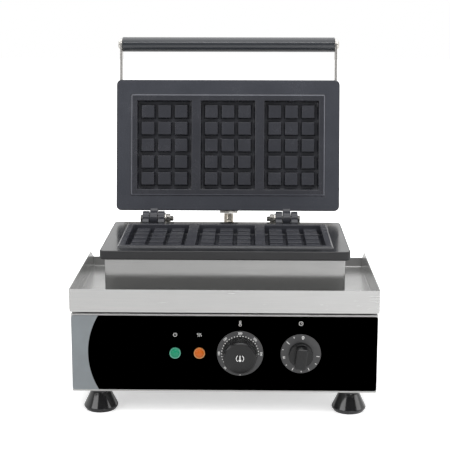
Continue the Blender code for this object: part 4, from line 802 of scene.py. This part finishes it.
def side_screws(kind, way, word):
    """One side's pan-head screws with a cross recess: a dome's height less a cross-shaped
    pocket that gets shallower outwards, over rings and spokes."""
    body, places, radius, rise = SIDE_SCREWS[kind]
    side, up, out = basis((way, 0, 0))
    share = np.linspace(0, 1, 15)[:, None]
    angle = np.linspace(0, 2 * math.pi, 72, endpoint=False)
    a, b = radius * share * np.cos(angle), radius * share * np.sin(angle)
    near, far = np.minimum(np.abs(a), np.abs(b)), np.maximum(np.abs(a), np.abs(b))
    arm = np.clip((radius * RECESS_WIDTH - near) / (radius * 0.05), 0, 1)
    arm = arm * np.clip((radius * RECESS_REACH - far) / (radius * 0.1), 0, 1)
    height = rise * (np.sqrt(np.clip(1 - share ** DOME_POWER, 0, 1)) - arm * RECESS_DEPTH)
    for place in places:
        node = f"{kind}_screw_{word}_{place}"
        low, high, centre = extent(node)
        centre[0] = (high if way > 0 else low)[0] - way * rise
        head = centre + a[..., None] * side + b[..., None] * up + height[..., None] * out
        piece("cross_" + node, grid_shape(head), BRIGHT, body, [node],
              sharp=35)


def make_feet():
    """Cone feet of gloss plastic, with a well for the screw under each."""
    for word in ("front_left", "front_right", "rear_left", "rear_right"):
        _, high, (x, y, _) = extent("foot_" + word)
        top = high[2]
        outer = rounded([(FOOT_BORE_R, top), (FOOT_TOP_R, top), (FOOT_NECK_R, FOOT_NECK_LEVEL),
                         (FOOT_WIDEST_R, FOOT_WIDEST_LEVEL), (FOOT_SOLE_R, 0),
                         (FOOT_WELL_R, 0), (FOOT_WELL_R, FOOT_WELL_LEVEL),
                         (FOOT_BORE_R, FOOT_WELL_LEVEL), (FOOT_BORE_R, top)],
                        [0.5 * MM, 9 * MM, 2.6 * MM, 0.8 * MM, 0.5 * MM, 0.3 * MM, 0], 6)
        piece("cone_foot_" + word, turned(outer, (x, y, 0), (0, 0, 1), 96), FOOT_PLASTIC,
              "base", ["foot_" + word])


def facing(centre, angle, reach, height):
    """A place on a dial: clockwise angle from the top, reach from the middle, and height
    towards the front."""
    return as_points(centre[0] + reach * np.sin(angle), centre[1] - height,
                     centre[2] + reach * np.cos(angle))


def skirt_height(reach, inner, outer, rise, rim):
    """A dial skirt's height at a reach: a straight fall from the cap to the rim."""
    return rise + (rim - rise) * (reach - inner) / (outer - inner)


def dial_print(name, centre, words, marks, skirt, body):
    """White ink on a dial's skirt: words as (text, angle, reach, size) and marks as
    (angle, inner reach, outer reach, width). Flat ink is bent round the dial's middle and
    laid on the skirt's slope."""
    shapes = []
    for text, angle, reach, size in words:
        curve = bpy.data.curves.new(name + "_text", 'FONT')
        curve.body = text
        curve.size = size
        curve.align_x = 'CENTER'
        curve.align_y = 'CENTER'
        curve.offset = size * INK_SPREAD
        curve.extrude = PRINT_THICK / 2
        guide = in_scene(name + "_text", curve)
        bpy.context.view_layer.update()
        mesh = bpy.data.meshes.new_from_object(
            guide.evaluated_get(bpy.context.evaluated_depsgraph_get()))
        bpy.data.objects.remove(guide)
        flat = np.empty(len(mesh.vertices) * 3)
        mesh.vertices.foreach_get("co", flat)
        x, y, z = flat.reshape(-1, 3).T
        radius = reach + y
        height = skirt_height(radius, *skirt) + PRINT_LIFT + PRINT_THICK / 2 + z
        shapes.append((facing(centre, angle + x / reach, radius, height),
                       [list(p.vertices) for p in mesh.polygons]))
        bpy.data.meshes.remove(mesh)
    shapes += [mark(centre, skirt, *stroke) for stroke in marks]
    piece(name, together(*shapes), INK, body, sharp=30)


def mark(centre, skirt, angle, inner, outer, width):
    """One inked stroke with round ends: an outline of two half circles, square to the
    skirt's radius, as thick as the ink."""
    turn = np.radians(np.linspace(0, 180, 7))
    x, y = np.cos(turn) * width / 2, np.sin(turn) * width / 2
    half = (outer - inner) / 2 - width / 2
    reach = (inner + outer) / 2 + np.concatenate([half + y, -half - y])
    angle = angle + np.concatenate([x, -x]) / reach
    height = skirt_height(reach, *skirt) + PRINT_LIFT
    rings = [facing(centre, angle, reach, height + lift) for lift in (0, PRINT_THICK)]
    return grid_shape(rings, caps=True)


def make_skirt(body, centre, inner, outer, rise, rim):
    """A dial's skirt: a thin ring that falls from the cap to its rim."""
    ring = rounded([(SHAFT_BORE_R, rise), (inner, rise), (outer, rim), (outer, 0),
                    (SHAFT_BORE_R, 0), (SHAFT_BORE_R, rise)], [0, 0.7 * MM, 0.3 * MM, 0])
    piece(body + "_skirt", turned(ring, centre, FRONT, 128), SKIRT_PLASTIC, body,
          [body.replace("dial", "knob")])


def make_temperature_knob():
    """A skirt that carries the scale, and a fluted cap with a thermometer in its dish. The
    dish deepens with the third power of the distance from its rim's share, and the flutes
    start and end a little inside the cap's straight side."""
    body = "temperature_dial"
    skirt = (HEAT_CAP_BASE_R, HEAT_SKIRT_R, HEAT_SKIRT_RISE, HEAT_SKIRT_RIM)
    make_skirt(body, HEAT, *skirt)
    floor = HEAT_CAP_HEIGHT - HEAT_DISH_DEPTH
    shoulder = HEAT_CAP_HEIGHT - HEAT_CAP_EASE
    rim = HEAT_CAP_FRONT_R - HEAT_CAP_EDGE
    share = np.linspace(0, 0.97, 16)
    dish = as_points(rim * share, floor + HEAT_DISH_DEPTH * share ** 3)
    fades = [HEAT_SKIRT_RISE + 1 * MM, HEAT_SKIRT_RISE + 2 * MM, shoulder - 1.6 * MM,
             shoulder - 0.6 * MM]
    side = [(np.interp(h, (HEAT_SKIRT_RISE, shoulder), (HEAT_CAP_BASE_R, HEAT_CAP_FRONT_R)), h)
            for h in fades[::-1]]
    cap = rounded([dish[-1], (rim, HEAT_CAP_HEIGHT), (HEAT_CAP_FRONT_R, shoulder), *side,
                   (HEAT_CAP_BASE_R, HEAT_SKIRT_RISE), (SHAFT_BORE_R, HEAT_SKIRT_RISE),
                   (SHAFT_BORE_R, SHAFT_END), (0, SHAFT_END)],
                  [0.5 * MM, 0.4 * MM, 0, 0, 0, 0, 0, 0, 0], 6)
    cap = np.concatenate([dish[:-1], cap])
    reach, height = cap.T
    dips = FLUTE_DEPTH * np.interp(height, fades, (0, 1, 1, 0)) * (reach > rim)
    piece(body + "_cap", turned(cap, HEAT, FRONT, 8 * FLUTES, dips=dips, flutes=FLUTES),
          CAP_PLASTIC, body)
    numbers = [(str(50 * (i + 1)), math.radians(SCALE_START + NUMBER_STEP * i), 28 * MM,
                3.8 * MM) for i in range(6)]
    dots = [(math.radians(SCALE_START + DOT_STEP * i), 24 * MM, 25.3 * MM, 1.25 * MM)
            for i in range(26)]
    dots.append((math.radians(180), 28 * MM, 30.2 * MM, 1.3 * MM))
    dial_print("temperature_scale", HEAT, numbers, dots, skirt, body)
    bend = np.radians(np.linspace(35, 145, 13))
    reach = 4.9 * MM
    strokes = [(as_points(way * reach * np.sin(bend), reach * np.cos(bend)), 0.8 * MM)
               for way in (-1, 1)]
    stem = np.array([(0, -1.5), (0, 3.8)]) * MM
    bulb = circle(16) * 0.9 * MM + (0, -2.6 * MM)
    inked("temperature_sign", HEAT, strokes + [(stem, 1.2 * MM), (bulb, 1.6 * MM)],
          floor + PRINT_LIFT, body)


def ribbon(points, width):
    """A flat inked stroke along points in X and Z: each point steps half the width to
    either side, square to the line's direction there."""
    points = np.array(points, float)
    way = np.gradient(points, axis=0)
    way = way / np.linalg.norm(way, axis=1)[:, None]
    square = as_points(-way[:, 1], way[:, 0]) * width / 2
    return np.concatenate([points + square, (points - square)[::-1]])


def inked(name, centre, strokes, level, body):
    """Strokes of white ink on a flat front at a level, as thin closed solids."""
    shapes = []
    for points, width in strokes:
        x, z = ribbon(points, width).T
        rings = [as_points(centre[0] + x, centre[1] - level - lift, centre[2] + z)
                 for lift in (0, PRINT_THICK)]
        shapes.append(grid_shape(rings, caps=True))
    piece(name, together(*shapes), INK, body,
          sharp=30)


def make_timer_knob():
    """A skirted knob with a boss and a straight grip bar across it."""
    body = "timer_dial"
    skirt = (TIMER_BOSS_R, TIMER_SKIRT_R, TIMER_SKIRT_RISE, TIMER_SKIRT_RIM)
    make_skirt(body, TIMER, *skirt)
    boss = rounded([(0, TIMER_BOSS_H), (TIMER_BOSS_R, TIMER_BOSS_H),
                    (TIMER_BOSS_R, TIMER_SKIRT_RISE), (SHAFT_BORE_R, TIMER_SKIRT_RISE),
                    (SHAFT_BORE_R, SHAFT_END), (0, SHAFT_END)], [1.2 * MM, 0, 0, 0], 6)
    side = np.array([(0, TIMER_SKIRT_RISE), (0, TIMER_GRIP_H - TIMER_GRIP_EASE),
                     (TIMER_GRIP_EDGE, TIMER_GRIP_H), (2 * TIMER_GRIP_EDGE, TIMER_GRIP_H)])
    cosine, sine = math.cos(TIMER_TURN), math.sin(TIMER_TURN)
    loops = []
    for inset, height in rounded(side, 0.4 * MM):
        x, z = round_box(TIMER_GRIP_WIDTH / 2 - inset, TIMER_GRIP_LENGTH / 2 - inset,
                         max(TIMER_GRIP_CORNER - inset, PRINT_THICK)).T
        loops.append(as_points(TIMER[0] + (x * cosine + z * sine), TIMER[1] - height,
                               TIMER[2] + (-x * sine + z * cosine)))
    grip = grid_shape(loops, caps=True)
    piece(body + "_grip", together(turned(boss, TIMER, FRONT, 128), grip), CAP_PLASTIC, body)
    marks = [(math.radians(degrees), (25.6 - length) * MM, 25.6 * MM, 0.8 * MM)
             for degrees, length in ((98, 4.6), (124, 2.6), (153, 4.2), (178, 2.2), (207, 4.0),
                                     (231, 2.2), (284, 2.0), (312, 5.4), (338, 2.2))]
    words = [("0", TIMER_TURN, 22.4 * MM, 6.4 * MM),
             ("10", math.radians(257), 22.6 * MM, 4.2 * MM)]
    dial_print("timer_scale", TIMER, words, marks, skirt, body)


def round_box(half_x, half_z, corner):
    """An outline of a rectangle with round corners, in X and Z."""
    turn = np.radians(np.linspace(0, 90, 7))
    sine, cosine = np.sin(turn) * corner, np.cos(turn) * corner
    x, z = half_x - corner, half_z - corner
    quarters = ((x + cosine, z + sine), (-x - sine, z + cosine), (-x - cosine, -z - sine),
                (x + sine, -z - cosine))
    return np.concatenate([as_points(*quarter) for quarter in quarters])


def circle(steps):
    """Points round a closed unit circle in X and Z, clockwise from the top."""
    turn = np.radians(np.linspace(0, 360, steps + 1))
    return as_points(np.sin(turn), np.cos(turn))


def make_lamps():
    """Two pilot lamps: a tinted lens with a stepped rim, and their materials."""
    share = np.radians(np.linspace(0, 84, 12))
    bowl = LENS_BOWL_SHARE * LENS_R
    step = LENS_SIDE + LENS_STEP
    dome = as_points(bowl * np.sin(share), step + (LENS_DOME - LENS_STEP) * np.cos(share))
    # Each lens's deep colour, its painted pale ring of gathered light, and its darker edge
    for word, codes in (("green", ("0F7F5E", "5A9E89", "0F2E26")),
                        ("orange", ("B4560A", "B98450", "3A1E08"))):
        low, high, centre = extent("lamp_lens_" + word)
        centre[1] = low[1] + LENS_SIDE + LENS_DOME
        stem = centre[1] - high[1]
        outer = rounded([(bowl + 0.05 * MM, step), (bowl + LENS_STEP, LENS_SIDE),
                         (LENS_R, LENS_SIDE), (LENS_R, 0), (LENS_STEM_R, 0),
                         (LENS_STEM_R, stem), (0, stem)],
                        [0.2 * MM, 1.1 * MM, 0.2 * MM, 0, 0], 5)
        look = tinted_lens(word + "_acrylic_lens", centre, *codes)
        piece("pilot_lens_" + word, turned(np.concatenate([dome, outer]), centre, FRONT),
              look, "base", ["lamp_lens_" + word], sharp=50)


def make_pictograms():
    """White signs over the lamps and dials in place of words: power, heat, a thermometer
    and a clock."""
    ring = np.radians(np.linspace(32, 328, 25))
    power = [(as_points(np.sin(ring), np.cos(ring)), 0.5), ([(0, 0.1), (0, 1.25)], 0.5)]
    wave = np.linspace(0, 2 * math.pi, 17)
    heat = [(as_points(np.sin(wave) * 0.3 + x, wave / math.pi - 1), 0.45)
            for x in (-0.9, 0, 0.9)]
    dial = circle(32)
    clock = [(dial * 1.1, 0.45), ([(0, 0), (0, 0.75)], 0.45), ([(0, 0), (0.55, -0.25)], 0.45)]
    side = [(-0.42, -0.5), (-0.42, 1.1), (-0.2, 1.35), (0.2, 1.35), (0.42, 1.1), (0.42, -0.5)]
    thermometer = [(side, 0.4), (dial[4:-3] * 0.7 + (0, -1.0), 0.4),
                   ([(0, -0.9), (0, 0.7)], 0.5)]
    places = [(extent("lamp_lens_" + word)[2][0], LAMP_SIGN_LEVEL, signs)
              for word, signs in (("green", power), ("orange", heat))]
    places += [(HEAT[0], DIAL_SIGN_LEVEL, thermometer), (TIMER[0], DIAL_SIGN_LEVEL, clock)]
    strokes = [(np.array(points) * SIGN_SIZE + (x, z), width * MM)
               for x, z, signs in places for points, width in signs]
    inked("panel_signs", np.zeros(3), strokes, -extent("control_panel")[0][1] + PRINT_LIFT,
          "base")


def make_handle():
    """The bar between the arms, the domed nuts on its rod, and the arms' screws."""
    low, high, centre = extent("handle_bar")
    half = (high[0] - low[0]) / 2
    profile = rounded([(BAR_BORE_R, -half), (BAR_R, -half), (BAR_R, half),
                       (BAR_BORE_R, half), (BAR_BORE_R, -half)], 0.8 * MM)
    piece("handle_sleeve", turned(profile, centre, (1, 0, 0), 96), BAR_PLASTIC, "lid",
          ["handle_bar"])
    share = np.radians(np.linspace(0, 90, 10))
    dome = as_points(CAP_NUT_R * np.sin(share),
                     CAP_NUT_RIM + (CAP_NUT_H - CAP_NUT_RIM) * np.cos(share))
    profile = np.concatenate([dome, [(CAP_NUT_R, 0), (0, 0)]])
    for way, word in SIDES:
        node = "handle_cap_nut_" + word
        centre[0] = extent(node)[0 if way > 0 else 1][0]
        piece("cap_nut_" + word, turned(profile, centre, (way, 0, 0), 48), BRIGHT, "lid",
              [node])
        side_screws("arm", way, word)


def bow(start, start_pull, end_pull, end):
    """A smooth stretch between two places: a cubic curve with a pull at each end."""
    share = np.linspace(0, 1, BOW_STEPS, endpoint=False)[:, None]
    rest = 1 - share
    return (start * rest ** 3 + start_pull * 3 * share * rest ** 2
            + end_pull * 3 * share ** 2 * rest + end * share ** 3)


def hose_route():
    """The conduit's middle line: straight at both glands, bowed out behind the housing."""
    end = SEAT_GAP + GLAND_H + SEAT_GAP
    x = extent("lid_hose_gland")[2][0]
    top = opened([(x, end - COVER_BACK, HOSE_GLAND_RISE)])[0]
    way = np.array((0, OPEN_COS, -OPEN_SIN))
    _, high, (_, _, level) = extent("rear_hose_gland")
    foot = np.array((x, high[1] + SEAT_GAP, level))
    out = np.array((0, 1.0, 0))
    middle = foot + (0, HOSE_BOW - end, HOSE_BOW_RISE)
    down = np.array((0, math.sin(HOSE_BOW_LEAN), -math.cos(HOSE_BOW_LEAN)))
    first = top + way * HOSE_STRAIGHT
    last = foot + out * HOSE_STRAIGHT
    return np.concatenate([
        top[None], bow(first, first + way * HOSE_LID_PULL, middle - down * HOSE_BOW_PULL_UP,
                       middle),
        bow(middle, middle + down * HOSE_BOW_PULL_DOWN, last + out * HOSE_REAR_PULL, last),
        last[None], foot[None]])


def make_conduit():
    """The flexible conduit: a tube along its route whose radius dips once a pitch, a little
    later at each angle round it, so that the groove winds like the strip it is made of. The
    dip is a triangle wave, cut off low and smoothed, and fades out towards both glands."""
    route = hose_route()
    steps = np.linalg.norm(np.diff(route, axis=0), axis=1)
    run = np.concatenate([[0], np.cumsum(steps)])
    total = run[-1]
    along = np.linspace(0, total, int(total / HOSE_PITCH * RINGS_PER_PITCH))
    middle = np.stack([np.interp(along, run, route[:, i]) for i in range(3)], 1)
    way = np.gradient(middle, axis=0)
    way /= np.linalg.norm(way, axis=1)[:, None]
    side = np.array((1.0, 0, 0))
    up = np.cross(way, side)
    angle = np.linspace(0, 2 * math.pi, 40, endpoint=False)
    phase = along[:, None] / HOSE_PITCH + angle / (2 * math.pi)
    dip = np.clip((1 + GROOVE_EDGE) * np.abs((phase % 1) * 2 - 1) - GROOVE_EDGE, 0, 1)
    dip = dip * dip * (3 - 2 * dip)
    ends = np.minimum(along, total - along)[:, None] / HOSE_STRAIGHT - HOSE_PLAIN_SHARE
    ends = np.clip(ends / (1 - HOSE_PLAIN_SHARE), 0, 1)
    radius = HOSE_R - HOSE_GROOVE * dip * ends
    spokes = np.cos(angle)[:, None] * side + np.sin(angle)[:, None] * up[:, None]
    outer = middle[:, None] + radius[..., None] * spokes
    inner = (middle[:, None] + GLAND_BORE_R * spokes)[::-1]
    shape = grid_shape(np.concatenate([outer, inner]), wrap_rows=True)
    hose = piece("ribbed_conduit", shape, STRIP, None, ["lid_conduit"],
                 sharp=70)
    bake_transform(hose)


def dress(look, *nodes):
    """Give model nodes that keep their shape a finish."""
    for node in nodes:
        mesh = NODES[node].data
        mesh.materials.clear()
        mesh.materials.append(look)


make_plates()
make_hinge_bolts()
make_feet()
make_temperature_knob()
make_timer_knob()
make_lamps()
make_pictograms()
make_handle()
for way, word in SIDES:
    side_screws("case", way, word)
make_conduit()
eased(TRAY_STEEL, "base", "drip_tray")
eased(BOX_STEEL, "base", "heater_box")
eased(STEEL, "base", "housing_shell", "rear_panel", "base_plate")
eased(COVER_STEEL, "lid", "upper_cover", "handle_arm_left", "handle_arm_right")
dress(FILM, "control_panel")
dress(BRIGHT, "handle_rod", "thermostat_shaft", "timer_shaft", "sensor_bulb_and_capillary",
      "lid_hose_gland", "rear_hose_gland", *(n for n in NODES if n.startswith("foot_screw")))
dress(BLACK_NYLON, "mains_cable_gland", "timer_body", "lamp_holder_green",
      "lamp_holder_orange")
dress(CERAMIC, "wire_bush_front", "wire_bush_rear", "terminal_block", "thermostat_body")
dress(WOOL, "lower_thermal_block", "upper_thermal_block")
dress(SHEATH, "lower_heating_element", "upper_heating_element")

# Studio: floor, strengths of the sky and the glow, and where the lamps aim
FLOOR_SIZE = 14.0
SKY = 0.55
FRONT_SKY = 0.19
FLOOR_GLOW = 0.5
SHADOW_HALF = (0.2, 0.09, 0)
MIRROR_LEFT = 0.06
MIRROR_RIGHT = 0.42
AIM = (0, 0, 0.2)

# Floor's glow: how it rises with the distance out from the shadow, near and far, which paints
# the shadow's fading edge, and the stretch of X over which its painted reflections brighten
NEAR_SPAN = (0.0, 0.045)
NEAR_RISE = 0.16
FAR_SPAN = (0.1, 0.9)
FAR_RISE = 0.6
MIRROR_SPAN = (-0.1, 0.5)

# Camera: place, then pitch, turn and roll in degrees, and the photograph's pixels
CAMERA_PLACE = (0.0308, -1.6599, 0.5816)
CAMERA_ANGLES = (11.8, 1.13, -0.04)
SENSOR_WIDTH = 36
FOCAL_PIXELS = 1183
FRAME_PIXELS = 450


def ray_kinds(tree):
    """Whether the camera sends a ray, and whether gloss or glass does."""
    rays = add(tree, "LightPath").outputs
    mirrored = add(tree, "Math", (rays["Is Glossy Ray"], rays["Is Transmission Ray"]),
                   operation='MAXIMUM')
    return rays["Is Camera Ray"], mirrored


def make_floor():
    """A white sweep that keeps the object's shadow: white paint with a glow that only camera,
    glossy and transmission rays see. The glow is brighter far out, where lamps are weak, and
    rises from low near the object, which paints the shadow's soft edge; in reflections it is a
    little darker at the left, a painted reflection."""
    mesh = bpy.data.meshes.new("studio_floor")
    half = FLOOR_SIZE / 2
    corners = [(-half, -half, 0), (half, -half, 0), (half, half, 0), (-half, half, 0)]
    mesh.from_pydata(corners, [], [(0, 1, 2, 3)])
    made, tree, shader = material("white_paper_sweep", "E8E8E8", 0.9, Specular_IOR_Level=0.0)
    where = add(tree, "TexCoord").outputs["Object"]
    flat = add(tree, "VectorMath", (where,), operation='ABSOLUTE')
    over = add(tree, "VectorMath", (flat, SHADOW_HALF), operation='SUBTRACT')
    out = add(tree, "VectorMath", (over, (0, 0, 0)), operation='MAXIMUM')
    reach = add(tree, "VectorMath", (out,), operation='LENGTH')
    near = add(tree, "MapRange", (reach, *NEAR_SPAN, FLOOR_GLOW, FLOOR_GLOW + NEAR_RISE))
    away = add(tree, "MapRange", (reach, *FAR_SPAN, 0.0, FAR_RISE))
    far = add(tree, "Math", (near, away), operation='ADD')
    side = add(tree, "MapRange", (add(tree, "SeparateXYZ", (where,)), *MIRROR_SPAN,
                                  MIRROR_LEFT, MIRROR_RIGHT))
    camera, mirrored = ray_kinds(tree)
    glow = add(tree, "Math", (mirrored, side), operation='MULTIPLY')
    seen = add(tree, "Math", (camera, far), operation='MULTIPLY')
    total = add(tree, "Math", (glow, seen), operation='ADD')
    join(tree, shader, {"Emission Color": "FFFFFF", "Emission Strength": total})
    mesh.materials.append(made)
    in_scene("studio_floor", mesh)


def make_sky():
    """A pale room: plain white to the camera and behind the object, darker in front, where
    gloss shows it between the lamps."""
    world = bpy.data.worlds.new("pale_room")
    world.use_nodes = True
    tree = world.node_tree
    camera, mirrored = ray_kinds(tree)
    way = add(tree, "SeparateXYZ", (add(tree, "TexCoord").outputs["Generated"],))
    back = add(tree, "MapRange", (way.outputs["Y"], -0.5, 0.1, FRONT_SKY))
    lit = add(tree, "Mix", (mirrored, SKY, back))
    strength = add(tree, "Mix", (camera, lit, 1.0))
    join(tree, tree.nodes["Background"], {"Color": "FFFFFF", "Strength": strength})
    bpy.context.scene.world = world


def lamp(name, place, aim, size, power):
    """A soft rectangular lamp at a place, turned to a point."""
    data = bpy.data.lights.new(name, 'AREA')
    data.shape = 'RECTANGLE'
    data.size, data.size_y = size
    data.energy = power
    obj = in_scene(name, data)
    obj.location = place
    obj.rotation_euler = (Vector(aim) - Vector(place)).to_track_quat('-Z', 'Y').to_euler()


def make_camera():
    """The photograph's view, from a fit of the object's corners: place, pitch, turn and
    roll, and a lens with that focal length in the photograph's own pixels."""
    data = bpy.data.cameras.new("camera")
    data.sensor_width = SENSOR_WIDTH
    data.lens = SENSOR_WIDTH * FOCAL_PIXELS / FRAME_PIXELS
    pitch, turn, roll = (math.radians(degrees) for degrees in CAMERA_ANGLES)
    way = Vector((-math.sin(turn) * math.cos(pitch), math.cos(turn) * math.cos(pitch),
                  -math.sin(pitch)))
    obj = in_scene("camera", data)
    obj.location = CAMERA_PLACE
    obj.rotation_mode = 'QUATERNION'
    obj.rotation_quaternion = Quaternion(way, roll) @ way.to_track_quat('-Z', 'Y')
    bpy.context.scene.camera = obj


make_floor()
make_sky()
lamp("top_lamp", (0.2, 0.1, 2.3), AIM, (3.4, 2.4), 36)
lamp("front_strip", (0.3, -1.9, 2.2), AIM, (2.4, 0.35), 16)
lamp("left_box", (-1.4, -1.45, 0.95), AIM, (1.4, 0.8), 10)
lamp("right_box", (1.75, -0.5, 0.9), AIM, (1.3, 0.9), 8)
lamp("low_strip", (0.75, -2.0, 0.3), (0.1, -0.15, 0.09), (0.35, 0.6), 2.0)
make_camera()
bpy.context.scene.view_settings.view_transform = 'Standard'
